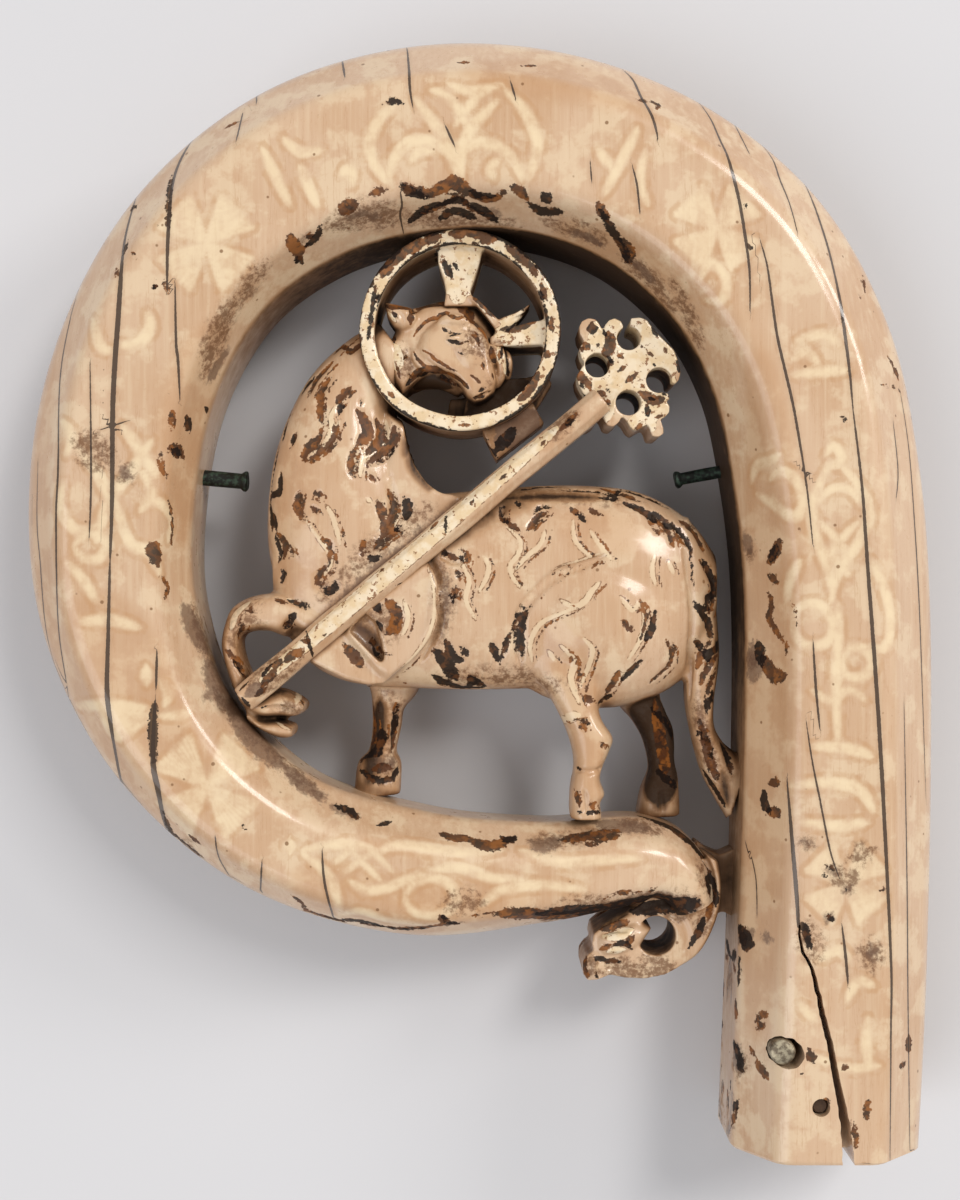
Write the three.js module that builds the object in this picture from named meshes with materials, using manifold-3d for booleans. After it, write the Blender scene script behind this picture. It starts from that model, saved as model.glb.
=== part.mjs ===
// Head of an ivory crosier, carved in openwork: a crook of eight facets that curls into a
// serpent's head, and in its loop the Lamb of God with a cross-halo and a staff cross.
// Millimetres. It lies on its back facet: +X to the right of the lamb's picture, +Y towards
// the top of the crook, +Z out of the front. The origin is under the middle of its box.
import * as THREE from 'three';
import { mergeVertices, toCreasedNormals } from 'three/addons/utils/BufferGeometryUtils.js';
import Module from 'manifold-3d';

const wasm = await Module();
wasm.setup();

// Crook.
const SHAFT_END = -70;
const DEPTH = 28;
const MID = DEPTH / 2;
const WALL_SHARE = 0.46;
const CROOK_STEPS = 60;
// Stations down the crook's middle line: x, y, width, depth, inner bevel, outer bevel.
const CROOK = [
  [43.9, SHAFT_END, 24.1, 28, 5.0, 6.6],
  [44.8, -50, 24.3, 28, 5.1, 6.8],
  [45.5, -25, 24.1, 28, 5.2, 7.0],
  [45.5, -1, 23.9, 28, 5.1, 7.0],
  [44.1, 15, 24.1, 28, 4.9, 6.9],
  [40.8, 30, 24.2, 28, 4.4, 6.8],
  [33.7, 42.7, 24.3, 28, 3.9, 6.8],
  [22.0, 52.4, 23.7, 28, 3.6, 6.7],
  [7.7, 57.5, 23.7, 28, 3.6, 6.6],
  [-7.5, 57.8, 24.0, 28, 3.6, 6.5],
  [-22.4, 53.4, 23.4, 28, 3.5, 6.4],
  [-34.9, 43.9, 22.1, 28, 3.2, 6.1],
  [-43.1, 30.2, 21.6, 27, 3.0, 5.9],
  [-46.7, 14.5, 21.4, 26, 2.9, 5.7],
  [-46.0, -2.3, 20.1, 25, 3.6, 5.2],
  [-39.0, -18.3, 17.9, 23, 4.6, 4.5],
  [-25.8, -30.3, 16.6, 21, 4.6, 3.8],
  [-8.7, -35.6, 16.2, 19.5, 4.0, 3.2],
  [7.5, -35.7, 13.2, 18, 3.5, 2.8],
  [20.5, -34.2, 11.2, 16.6, 3.0, 2.4],
  [25.6, -36.2, 8.6, 15.4, 2.4, 2.2],
  [27.6, -40.0, 6.2, 14, 1.8, 1.8],
];

// Serpent's head at the tip.
const CURL = { x: 21.2, y: -38.9, rx: 9.4, ry: 10.35, back: MID - 6.5, front: MID + 4.6 };
const CURL_LEFT = 16.4;
const CURL_BEVEL = 0.9;
const EYE_LOOP = { x: 22.6, y: -43.6, r: 2.5 };
// Upper jaw, lip and chin: middle and three half widths of each.
const JAWS = [
  [17.2, -44.2, MID - 0.6, 3.0, 2.5, 5.0],
  [16.4, -47.6, MID - 0.6, 2.6, 1.5, 4.2],
  [14.6, -47.6, MID - 0.6, 1.6, 2.0, 3.0],
];
const JAW_SLIT = [[12, -46.9], [12, -46.2], [19.6, -46.3], [19.6, -46.7]];
const BROW_SLIT = [[13, -42.6], [13, -41.6], [18.6, -41.2], [18.6, -41.8]];
const BRIDGE = {
  left: 28.5, right: 34.5, top: -32.2, bottom: -43.2, sag: 2.2, back: MID - 6, front: MID - 0.6,
};

// Lamb: stations along the body: x, middle y, half height, half thickness.
const BODY = [
  [-26.6, 5.0, 5.0, 3.4],
  [-23.5, 3.4, 10.6, 6.2],
  [-17.5, 1.6, 12.9, 7.3],
  [-7.0, 0.8, 13.1, 7.5],
  [3.5, 0.8, 13.1, 7.3],
  [13.0, 1.2, 13.0, 7.3],
  [21.0, 0.6, 12.6, 7.2],
  [27.2, 0.2, 9.4, 6.0],
  [30.6, 0.9, 4.2, 3.4],
];
// Stations up the neck: x, y, z, width, thickness.
const NECK = [
  [-17.0, -1.0, MID, 17.0, 13.5],
  [-18.0, 7.0, MID, 18.8, 15.0],
  [-18.3, 14.5, MID, 17.6, 14.8],
  [-17.9, 20.0, MID, 15.4, 13.6],
  [-16.6, 25.0, MID, 12.6, 12.2],
  [-13.6, 29.0, MID, 10.6, 11.2],
  [-9.8, 31.4, MID, 10.2, 11.0],
];
const HAUNCH = { x: 16.0, y: -3.0, rx: 12.6, ry: 10.6, top: MID + 8.8 };
const SHOULDER = { x: -13.6, y: -1.5, rx: 7.8, ry: 9.6, back: MID + 2, top: MID + 8.4, rim: 1.6 };
const ARM_PIT = { outline: [[-17.4, -4.2], [-14.4, -1.4], [-12.6, -2.2], [-12.6, -8.2]], deep: 1.8 };
// Head, turned back over the shoulder: its outline, and the ridge from brow to muzzle.
const HEAD = {
  outline: [
    [-12.0, 36.2], [-8.4, 37.0], [-4.6, 37.7], [-1.2, 38.0], [1.6, 35.6], [2.8, 32.0],
    [3.9, 28.4], [3.6, 26.0], [1.2, 24.4], [-0.9, 24.9], [-3.0, 27.8], [-5.4, 29.0],
    [-8.6, 28.0], [-11.6, 26.4], [-13.0, 30.6],
  ],
  back: MID - 4.6,
  front: MID + 5.6,
  bevel: 1.5,
};
const FACE = [
  [-6.4, 34.2, MID + 2.6, 5.4, 7.6],
  [-3.0, 32.8, MID + 3.0, 7.2, 8.4],
  [-0.4, 30.2, MID + 3.0, 6.0, 8.2],
  [1.0, 27.6, MID + 2.8, 4.6, 7.4],
  [1.6, 25.6, MID + 2.4, 3.6, 6.0],
];
const MOUTH = [[-1.6, 25.3], [3.0, 26.6], [3.0, 26.2], [-1.4, 24.9]];
const MOUTH_FLOOR = MID + 3;
const FAR_FORELEG = [
  [-12.0, -8.0, MID - 4, 8.0, 7.0],
  [-12.0, -12.6, MID - 4, 6.2, 6.6],
  [-12.5, -15.9, MID - 4, 4.0, 6.0],
  [-12.6, -19.2, MID - 4, 3.7, 5.6],
  [-13.0, -22.0, MID - 4, 4.2, 6.0],
  [-13.9, -25.0, MID - 4, 6.4, 6.6],
  [-14.0, -28.0, MID - 4, 7.0, 6.8],
];
const NEAR_HINDLEG = [
  [10.4, -6.0, MID + 1.4, 8.6, 6.4],
  [10.8, -11.0, MID + 3.2, 8.8, 7.6],
  [12.7, -15.3, MID + 4, 5.6, 7.2],
  [14.3, -18.6, MID + 4, 5.2, 6.6],
  [13.8, -21.4, MID + 4, 4.3, 6.2],
  [13.4, -24.0, MID + 4, 3.9, 6.0],
  [13.3, -26.4, MID + 4, 4.5, 6.4],
  [13.4, -29.6, MID + 4, 4.7, 6.6],
];
const FAR_HINDLEG = [
  [20.0, -8.0, MID - 4, 10.0, 7.4],
  [21.4, -13.3, MID - 4, 6.8, 7.0],
  [23.5, -17.0, MID - 4, 5.0, 6.4],
  [24.6, -20.6, MID - 4, 4.1, 6.0],
  [24.9, -24.0, MID - 4, 4.1, 6.0],
  [24.6, -27.0, MID - 4, 5.4, 6.4],
  [24.2, -30.6, MID - 4, 5.8, 6.6],
];
const RAISED_FORELEG = [
  [-11.8, -9.2, MID + 3.6, 4.0, 8.0],
  [-16.6, -7.0, MID + 3.2, 5.0, 8.6],
  [-20.6, -3.8, MID + 2.8, 5.0, 8.8],
  [-24.2, -2.5, MID + 2.6, 4.7, 9.0],
  [-27.8, -2.9, MID + 2.6, 4.7, 9.0],
  [-30.5, -5.0, MID + 2.6, 3.6, 9.0],
  [-31.3, -8.4, MID + 2.6, 3.0, 9.0],
  [-30.9, -11.6, MID + 2.4, 3.4, 9.0],
  [-28.4, -14.8, MID + 2.2, 4.6, 9.0],
];
const UPPER_TOE = [
  [-29.0, -14.6, MID + 2.2, 3.0, 8.0],
  [-26.4, -13.4, MID + 2.2, 3.2, 8.6],
  [-23.6, -13.7, MID + 2.2, 2.8, 8.2],
];
const LOWER_TOE = [
  [-29.0, -15.4, MID + 2.2, 2.6, 8.0],
  [-26.4, -15.8, MID + 2.2, 2.8, 8.2],
  [-24.2, -17.0, MID + 2.2, 2.6, 7.6],
];
const TAIL = [
  [27.6, 5.0, MID + 1.4, 4.0, 9.0],
  [29.2, -0.6, MID + 1.2, 4.4, 9.4],
  [29.5, -6.0, MID + 1, 4.2, 9.4],
  [29.4, -11.0, MID + 1, 4.3, 9.2],
  [29.3, -15.6, MID + 0.8, 4.0, 8.8],
  [30.2, -19.8, MID + 0.6, 4.2, 8.4],
  [32.0, -24.0, MID + 0.4, 4.6, 8.0],
  [34.2, -29.0, MID + 0.2, 4.6, 7.6],
];

// Halo with its cross.
const HALO = { x: -2.4, y: 33.5, outer: 12.8, inner: 10.9, half: 6.4 };
const HALO_ARM_HALF = 5;
const HALO_ARMS = [
  [[-5.4, 45.2], [0.2, 45.2], [-1.3, 36.5], [-4.2, 36.5]],
  [[0.5, 34.1], [4.2, 34.1], [9.2, 34.9], [9.4, 31.7], [0.5, 31.8]],
  [[-4.6, 23.2], [0.4, 22.4], [1.6, 25.6], [-1.4, 27.0]],
];
const EAR = {
  outline: [[1.4, 36.0], [4.2, 35.7], [6.6, 37.5], [4.2, 34.2], [1.4, 33.0]],
  back: MID - 1,
  front: MID + 4.4,
};
const EYES = [[-4.3, 33.7], [-0.7, 33.0]];
const EYE = { z: MID + 6.6, rx: 1.4, ry: 0.8, rz: 1.2 };
const SIDE_EAR = { x: -10.2, y: 35.3, z: MID + 4.6, rx: 2.2, ry: 1.6, rz: 1.8 };
// Small strut between the muzzle and the staff.
const STRUT = [[0.2, 21.4], [2.2, 17.2], [8.4, 22.0], [6.6, 25.2], [2.6, 23.6]];
const STRUT_HALF = 3;

// Staff held by the raised foreleg, and its cross with lobed ends and four drilled holes.
const STAFF = {
  from: [-29.7, -13.2], to: [15.4, 24.5], width: 3.4, back: MID + 5.4, front: MID + 9.8, arris: 0.9,
};
const CROSS = { x: 18.9, y: 28.2, core: 5.0, back: MID - 3, front: MID + 7.5 };
const LOBE_R = 1.35;
const LOBE_NECK = 1.7;
const LOBE_NECK_R = 1.08;
const LOBE_BEVEL = 0.4;
// Each lobe of the cross: direction in degrees, distance from the middle.
const LOBES = [
  [5, 6.0], [27, 6.6], [49, 6.6], [76, 5.7], [108, 5.9], [131, 7.2], [152, 5.8],
  [192, 5.5], [231, 7.6], [249, 6.2], [277, 6.4], [295, 8.1], [312, 6.1], [327, 5.6],
];
const CROSS_HOLES = [[0, 4.15], [-3.9, 0.8], [3.8, -1.2], [-0.1, -4.0]];
const CROSS_HOLE_R = 1.5;

// Fleece: locks cut as shallow S-shaped strokes: x, y, length, direction in degrees, bend.
const LOCK_WIDTH = 1.3;
const LOCK_DEPTH = 0.6;
const LOCKS = [
  [-22.6, 20.8, 7.5, 250, 1.2], [-19.4, 22.6, 7.5, 245, 1.3], [-15.8, 23.4, 7.0, 262, -1.5],
  [-13.0, 21.6, 6.5, 240, -1.8], [-22.6, 11.4, 8.5, 292, 1.6], [-18.8, 7.4, 7.5, 280, -1.5],
  [-11.9, 11.6, 7.5, 255, -1.7], [-3.6, 3.6, 8.5, 275, -1.4], [2.8, 9.6, 9.5, 262, 1.8],
  [8.6, 10.4, 8.5, 250, -1.8], [13.6, 10.6, 9.5, 295, 1.6], [-3.4, -6.4, 6.5, 300, 1.3],
  [3.4, -2.6, 7.5, 265, 1.3], [21.2, 0.6, 8.5, 262, 1.5], [11.6, -3.8, 8.5, 290, 1.7],
  [24.2, 8.4, 7.0, 300, 1.0],
];
const HAUNCH_CREASE = { from: 70, to: 205, width: 0.9, depth: 0.8 };

// Shaft end: socket for the staff, rivet, peg, and the open crack.
const SOCKET = { x: 43.9, r: 6, deep: 30 };
const FIT = 0.3;
const RIVET = { x: 37.3, y: -56.2, r: 1.6, hole: 2.0, top: 27.6, tip: 20.9 };
const PEG = { x: 41.9, y: -62.9, r: 0.8, hole: 1.1, top: 27.0, tip: 20.9 };
const BORE_FLOOR = MID + 4;
// The crack's line from the end upwards: x, y, width.
const CRACK = [
  [45.4, -71, 1.5], [44.8, -64.9, 1.2], [43.9, -60.1, 0.9], [43.0, -55.4, 0.8],
  [41.9, -50.8, 0.7], [40.8, -46.1, 0.5], [39.5, -43.3, 0.4], [39.2, -40.5, 0.25],
];
const CRACK_FLOOR = 22.5;

// Pins driven into the crook's inner wall: tip of the burred head, lean in degrees.
const LEFT_PIN = { x: -30.1, y: 14.7, z: MID, lean: 175, r: 1.03, burr: 1.35, length: 10.5 };
const RIGHT_PIN = { x: 25.8, y: 15.1, z: MID - 3, lean: 10.5, r: 0.82, burr: 1.15, length: 10 };
const PIN_HOLE_START = 3;

// Shortest edge kept where two carved forms meet.
const FINEST = 0.03;
// Faces that meet at more than this angle, in radians, keep a sharp arris.
const ARRIS = 0.5;

const DEG = Math.PI / 180;
const IVORY = new THREE.MeshStandardMaterial({ color: 0xe6cdaa, roughness: 0.42, metalness: 0 });
const BRONZE = new THREE.MeshStandardMaterial({ color: 0x24261f, roughness: 0.6, metalness: 0.7 });
const IRON = new THREE.MeshStandardMaterial({ color: 0x75705f, roughness: 0.55, metalness: 0.7 });
const WOOD = new THREE.MeshStandardMaterial({ color: 0x5d4c3a, roughness: 0.8, metalness: 0 });

// A closed geometry as a solid for joining and cutting.
function solid(geometry) {
  const bare = geometry.index ? geometry.toNonIndexed() : geometry.clone();
  for (const name of Object.keys(bare.attributes)) {
    if (name !== 'position') bare.deleteAttribute(name);
  }
  const welded = mergeVertices(bare, 1e-4);
  const positions = welded.attributes.position.array;
  let triVerts = Uint32Array.from(welded.index.array);
  const corner = (i) => new THREE.Vector3().fromArray(positions, 3 * triVerts[i]);
  let volume = 0;
  for (let i = 0; i < triVerts.length; i += 3) {
    volume += corner(i).dot(corner(i + 1).cross(corner(i + 2)));
  }
  if (volume < 0) triVerts = triVerts.reverse();
  const mesh = new wasm.Mesh({ numProp: 3, vertProperties: Float32Array.from(positions), triVerts });
  return new wasm.Manifold(mesh);
}

const join = (parts) => parts.reduce((all, part) => all.add(part));

// Rows of numbers carried on smoothly between the given stations.
function between(stations, steps) {
  const last = stations.length - 1;
  const rows = [];
  for (let i = 0; i <= steps; i++) {
    const t = (i / steps) * last;
    const k = Math.min(Math.floor(t), last - 1);
    const f = t - k;
    rows.push(stations[0].map((_, column) => {
      const [a, b, c, d] = [k - 1, k, k + 1, k + 2]
        .map((j) => stations[Math.min(Math.max(j, 0), last)][column]);
      const curve = 2 * a - 5 * b + 4 * c - d;
      const twist = 3 * (b - c) + d - a;
      return 0.5 * (2 * b + (c - a) * f + curve * f * f + twist * f * f * f);
    }));
  }
  return rows;
}

// A closed skin over rings with equal numbers of points.
function loft(rings) {
  const count = rings[0].length;
  const points = rings.flat();
  const middle = (ring) => ring.reduce((sum, p) => sum.add(p), new THREE.Vector3())
    .divideScalar(count);
  const start = points.push(middle(rings[0])) - 1;
  const end = points.push(middle(rings.at(-1))) - 1;
  const index = [];
  const tail = (rings.length - 1) * count;
  for (let j = 0; j < count; j++) {
    const next = (j + 1) % count;
    index.push(start, next, j, end, tail + j, tail + next);
    for (let i = 0; i < tail; i += count) {
      index.push(i + j, i + next, i + count + next, i + j, i + count + next, i + count + j);
    }
  }
  const geometry = new THREE.BufferGeometry().setFromPoints(points);
  geometry.setIndex(index);
  return solid(geometry);
}

// In-plane direction across a line of rows at row i.
function across(rows, i) {
  const a = rows[Math.max(i - 1, 0)];
  const b = rows[Math.min(i + 1, rows.length - 1)];
  return new THREE.Vector2(b[1] - a[1], a[0] - b[0]).normalize();
}

// A squarish oval: a point at angle t, with half widths a and b.
function oval(t, a, b, squareness = 2.5) {
  const bend = (v) => Math.sign(v) * Math.abs(v) ** (2 / squareness);
  return [a * bend(Math.cos(t)), b * bend(Math.sin(t))];
}

// A rounded limb through stations of x, y, z, width and thickness.
function limb(stations, steps, sides = 10, inset = 0) {
  const rows = between(stations, steps);
  return loft(rows.map(([x, y, z, width, thick], i) => {
    const side = across(rows, i);
    return Array.from({ length: sides }, (_, j) => {
      const turn = (2 * Math.PI * (j + 0.5)) / sides;
      const [u, v] = oval(turn, width / 2 - inset, thick / 2 - inset);
      return new THREE.Vector3(x + side.x * u, y + side.y * u, z + v);
    });
  }));
}

// A flat shape with straight walls from z = back to z = front, its rims bevelled.
function slab(outline, back, front, bevel = 0) {
  const shape = outline instanceof THREE.Shape ? outline
    : new THREE.Shape(outline.map(([x, y]) => new THREE.Vector2(x, y)));
  const geometry = new THREE.ExtrudeGeometry(shape, {
    depth: front - back - 2 * bevel,
    bevelEnabled: bevel > 0,
    bevelThickness: bevel,
    bevelSize: bevel,
    bevelOffset: -bevel,
    bevelSegments: 1,
    curveSegments: 11,
  });
  return solid(geometry.translate(0, 0, back + bevel));
}

// A round post along Z, with a bevel on its front rim.
function post(x, y, r, back, front, { bevel = 0, sides = 20, rx = 1, ry = 1 } = {}) {
  const profile = [[0, back], [r, back], [r, front - bevel], [r - bevel, front], [0, front]];
  const turned = new THREE.LatheGeometry(profile.map(([a, b]) => new THREE.Vector2(a, b)), sides);
  return solid(turned.rotateX(Math.PI / 2).scale(rx, ry, 1).translate(x, y, 0));
}

// A ball stretched to three half widths.
function ball(x, y, z, rx, ry, rz, sides = 14) {
  const round = new THREE.SphereGeometry(1, sides, Math.round(sides * 0.6));
  return solid(round.scale(rx, ry, rz).translate(x, y, z));
}

// The crook's ring of eight corners at one station: inner wall, front, outer wall, back.
function crookRing([x, y, width, depth, inner, outer], side) {
  const face = Math.min(depth, DEPTH) / 2;
  const wall = face * WALL_SHARE;
  const corners = [
    [0, -wall], [0, wall], [inner, face], [width - outer, face],
    [width, wall], [width, -wall], [width - outer, -face], [inner, -face],
  ];
  return corners.map(([u, v]) => {
    const out = u - width / 2;
    return new THREE.Vector3(x + side.x * out, y + side.y * out, MID + v);
  });
}

function crook() {
  const rows = between(CROOK, CROOK_STEPS);
  const level = new THREE.Vector2(1, 0);
  return loft(rows.map((row, i) => crookRing(row, i === 0 ? level : across(rows, i))));
}

function serpentHead() {
  const outline = new THREE.Shape();
  outline.moveTo(CURL_LEFT, CURL.y + CURL.ry - 1);
  outline.lineTo(CURL.x, CURL.y + CURL.ry);
  outline.absellipse(CURL.x, CURL.y, CURL.rx, CURL.ry, Math.PI / 2, -Math.PI / 2, true);
  outline.lineTo(CURL_LEFT, CURL.y - CURL.ry + 0.7);
  const jaws = JAWS.map((row) => ball(...row, 12));
  const whole = join([slab(outline, CURL.back, CURL.front, CURL_BEVEL), ...jaws]);
  return whole.subtract(slab(JAW_SLIT, 0, DEPTH)).subtract(slab(BROW_SLIT, MID - 1, DEPTH));
}

// Ivory left standing between the serpent's back and the shaft, hollowed above and below.
function bridge() {
  const { left, right, top, bottom, sag, back, front } = BRIDGE;
  const middle = (left + right) / 2;
  const outline = new THREE.Shape();
  outline.moveTo(left, top);
  outline.quadraticCurveTo(middle, top - sag, right, top);
  outline.lineTo(right, bottom);
  outline.quadraticCurveTo(middle, bottom + sag, left, bottom);
  return slab(outline, back, front);
}

function bodyLoft(inset) {
  const rows = between(BODY, 18);
  const sides = 16;
  return loft(rows.map(([x, y, high, thick]) => Array.from({ length: sides }, (_, j) => {
    const [u, v] = oval((2 * Math.PI * (j + 0.5)) / sides, high - inset, thick - inset, 2.6);
    return new THREE.Vector3(x, y + u, MID + v);
  })));
}

// The fleeced mass of the lamb, or the same drawn in by an inset.
function fleece(inset) {
  const { x, y, rx, ry, top } = HAUNCH;
  return join([
    bodyLoft(inset),
    limb(NECK, 10, 14, inset),
    ball(x, y, MID, rx - inset, ry - inset, top - MID - inset, 16),
  ]);
}

// One lock of fleece: an S-shaped stroke, wide in its middle.
function lock(x, y, length, direction, bend) {
  const steps = 4;
  const left = [];
  const right = [];
  for (let i = 0; i <= steps; i++) {
    const t = i / steps;
    const along = length * t;
    const off = bend * Math.sin(2 * Math.PI * t);
    const half = (LOCK_WIDTH / 2) * (0.35 + 0.65 * Math.sin(Math.PI * t));
    left.push([along, off + half]);
    right.unshift([along, off - half]);
  }
  const [c, s] = [Math.cos(direction * DEG), Math.sin(direction * DEG)];
  const turned = [...left, ...right].map(([a, b]) => [x + a * c - b * s, y + a * s + b * c]);
  return slab(turned, MID + 1, DEPTH);
}

// The crease that sets the haunch off from the belly.
function haunchCrease() {
  const { from, to, width } = HAUNCH_CREASE;
  const steps = 10;
  const edge = (grow) => Array.from({ length: steps + 1 }, (_, i) => {
    const turn = (from + ((to - from) * i) / steps) * DEG;
    return [
      HAUNCH.x + (HAUNCH.rx + grow) * Math.cos(turn),
      HAUNCH.y + (HAUNCH.ry + grow) * Math.sin(turn),
    ];
  });
  return slab([...edge(width), ...edge(0).reverse()], MID + 1, DEPTH);
}

function carvedFleece() {
  const locks = join(LOCKS.map((row) => lock(...row))).subtract(fleece(LOCK_DEPTH));
  const crease = haunchCrease().subtract(fleece(HAUNCH_CREASE.depth));
  return fleece(0).subtract(locks).subtract(crease);
}

function shoulder() {
  const { x, y, rx, ry, back, top, rim } = SHOULDER;
  const disc = post(x, y, 1, 0, 1, { bevel: rim / rx, sides: 24, rx, ry });
  const lifted = disc.scale([1, 1, top - back]).translate([0, 0, back]);
  return lifted.subtract(slab(ARM_PIT.outline, top - ARM_PIT.deep, DEPTH));
}

function legs() {
  return join([
    limb(FAR_FORELEG, 12),
    limb(NEAR_HINDLEG, 12),
    limb(FAR_HINDLEG, 12),
    limb(RAISED_FORELEG, 15),
    limb(UPPER_TOE, 4, 8),
    limb(LOWER_TOE, 4, 8),
    limb(TAIL, 12),
  ]);
}

function halo() {
  const { x, y, outer, inner, half } = HALO;
  const section = [[inner, -half], [outer, -half], [outer, half], [inner, half], [inner, -half]];
  const band = new THREE.LatheGeometry(section.map(([a, b]) => new THREE.Vector2(a, b)), 40);
  const ring = solid(band.rotateX(Math.PI / 2).translate(x, y, MID));
  const arms = HALO_ARMS.map((outline) => slab(outline, MID - HALO_ARM_HALF, MID + HALO_ARM_HALF));
  return join([ring, ...arms]);
}

function head() {
  const { x, y, z, rx, ry, rz } = SIDE_EAR;
  const eyes = EYES.map(([ex, ey]) => ball(ex, ey, EYE.z, EYE.rx, EYE.ry, EYE.rz, 10));
  const mass = join([
    slab(HEAD.outline, HEAD.back, HEAD.front, HEAD.bevel),
    limb(FACE, 8, 12),
    slab(EAR.outline, EAR.back, EAR.front),
    ball(x, y, z, rx, ry, rz, 12),
    ...eyes,
  ]);
  return mass.subtract(slab(MOUTH, MOUTH_FLOOR, DEPTH));
}

function staff() {
  const { from, to, width, back, front, arris } = STAFF;
  const run = new THREE.Vector2(to[0] - from[0], to[1] - from[1]);
  const side = new THREE.Vector2(run.y, -run.x).normalize();
  const half = width / 2;
  const flat = half - 0.6 * arris;
  const shoulderZ = front - arris;
  const corners = [
    [-half, back], [half, back], [half, shoulderZ], [flat, front], [-flat, front], [-half, shoulderZ],
  ];
  return loft([from, to].map(([x, y]) => corners
    .map(([u, z]) => new THREE.Vector3(x + side.x * u, y + side.y * u, z))));
}

function cross() {
  const { x, y, core, back, front } = CROSS;
  const lobes = LOBES.map(([turn, reach]) => {
    const [c, s] = [Math.cos(turn * DEG), Math.sin(turn * DEG)];
    const neck = Math.max(reach - LOBE_NECK, 0);
    const tip = post(x + reach * c, y + reach * s, LOBE_R, back, front, { bevel: LOBE_BEVEL, sides: 9 });
    const stem = post(x + neck * c, y + neck * s, LOBE_NECK_R, back, front - 0.2, { sides: 5 });
    return tip.add(stem);
  });
  const plate = join([post(x, y, core, back, front, { sides: 20 }), ...lobes]);
  const holes = CROSS_HOLES.map(([dx, dy]) => post(x + dx, y + dy, CROSS_HOLE_R, 0, DEPTH, { sides: 12 }));
  return plate.subtract(join(holes));
}

// The crack, open at the end of the shaft and closing upwards.
function crack() {
  const left = CRACK.map(([x, y, width]) => [x - width / 2, y]);
  const right = CRACK.map(([x, y, width]) => [x + width / 2, y]).reverse();
  return slab([...left, ...right], CRACK_FLOOR, DEPTH + 1);
}

function socket() {
  const { x, r, deep } = SOCKET;
  const bore = new THREE.CylinderGeometry(r, r, deep + 1, 32);
  return solid(bore.translate(x, SHAFT_END + deep - (deep + 1) / 2, MID));
}

// A pin along +X with its burred head at the origin, then leant and set in place.
function pin({ x, y, z, lean, r, burr, length }, grow = 0, start = 0) {
  const profile = grow > 0
    ? [[0, start], [r + grow, start], [r + grow, length + grow], [0, length + grow]]
    : [[0, 0], [burr * 0.75, 0], [burr, 0.5], [r, 1.5], [r, length], [0, length]];
  const turned = new THREE.LatheGeometry(profile.map(([a, b]) => new THREE.Vector2(a, b)), 14);
  return turned.rotateZ(-Math.PI / 2).rotateZ(lean * DEG).translate(x, y, z);
}

function ivory() {
  const lamb = join([carvedFleece(), shoulder(), legs(), halo(), head(), staff(), cross()]);
  const strut = slab(STRUT, MID - STRUT_HALF, MID + STRUT_HALF);
  const whole = join([crook(), serpentHead(), bridge(), strut, lamb]);
  const pinHole = (size) => solid(pin(size, FIT, PIN_HOLE_START));
  const cuts = [
    post(EYE_LOOP.x, EYE_LOOP.y, EYE_LOOP.r, 0, DEPTH, { sides: 20 }),
    socket(),
    post(RIVET.x, RIVET.y, RIVET.hole, BORE_FLOOR, DEPTH + 1),
    post(PEG.x, PEG.y, PEG.hole, BORE_FLOOR, DEPTH + 1, { sides: 14 }),
    crack(),
    pinHole(LEFT_PIN),
    pinHole(RIGHT_PIN),
  ];
  const carved = cuts.reduce((left, cut) => left.subtract(cut), whole).simplify(FINEST);
  return carved.decompose().sort((a, b) => b.volume() - a.volume())[0];
}

function geometryOf(manifold) {
  const { vertProperties, triVerts } = manifold.getMesh();
  const geometry = new THREE.BufferGeometry();
  geometry.setAttribute('position', new THREE.BufferAttribute(vertProperties, 3));
  geometry.setIndex(new THREE.BufferAttribute(triVerts, 1));
  return toCreasedNormals(geometry, ARRIS);
}

function named(name, geometry, material) {
  const mesh = new THREE.Mesh(geometry, material);
  mesh.name = name;
  return mesh;
}

const plug = ({ x, y, r, tip, top }) => post(x, y, r, tip, top, { bevel: r * 0.15, sides: 14 });

const crosierHead = new THREE.Group();
crosierHead.add(
  named('ivory_head', geometryOf(ivory()), IVORY),
  named('left_pin', pin(LEFT_PIN), BRONZE),
  named('right_pin', pin(RIGHT_PIN), BRONZE),
  named('shaft_rivet', geometryOf(plug(RIVET)), IRON),
  named('small_peg', geometryOf(plug(PEG)), WOOD),
);

export default crosierHead;
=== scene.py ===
# Head of an ivory crosier lying on its back on a pale floor: a crook of eight facets that
# curls into a serpent's head, and in its loop the Lamb of God, with its halo and staff cross.
import math

import bpy
import numpy as np
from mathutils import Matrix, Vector, noise
from mathutils.bvhtree import BVHTree


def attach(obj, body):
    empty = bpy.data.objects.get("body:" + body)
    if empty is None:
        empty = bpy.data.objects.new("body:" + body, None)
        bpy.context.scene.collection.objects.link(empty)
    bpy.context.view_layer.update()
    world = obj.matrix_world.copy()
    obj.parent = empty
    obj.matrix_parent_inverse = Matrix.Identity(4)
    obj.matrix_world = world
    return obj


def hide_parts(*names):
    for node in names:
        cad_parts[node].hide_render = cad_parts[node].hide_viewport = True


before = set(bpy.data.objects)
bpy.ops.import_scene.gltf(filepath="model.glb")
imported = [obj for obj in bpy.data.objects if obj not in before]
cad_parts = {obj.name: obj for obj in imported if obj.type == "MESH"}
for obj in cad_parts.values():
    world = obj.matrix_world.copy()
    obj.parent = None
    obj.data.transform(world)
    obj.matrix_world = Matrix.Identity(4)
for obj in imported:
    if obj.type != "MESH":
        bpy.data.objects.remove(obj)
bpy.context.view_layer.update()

# The view from above.
# The head lies on its back facet, and the camera hangs straight above it. Soft daylight comes
# from the upper right, low enough to leave the inside of the loop in shade.
MM = 0.001
MID = 14.0
DEPTH = 28.0
EYE_X, EYE_Y, EYE_HEIGHT = 0.1, -0.7, 249.0
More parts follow.
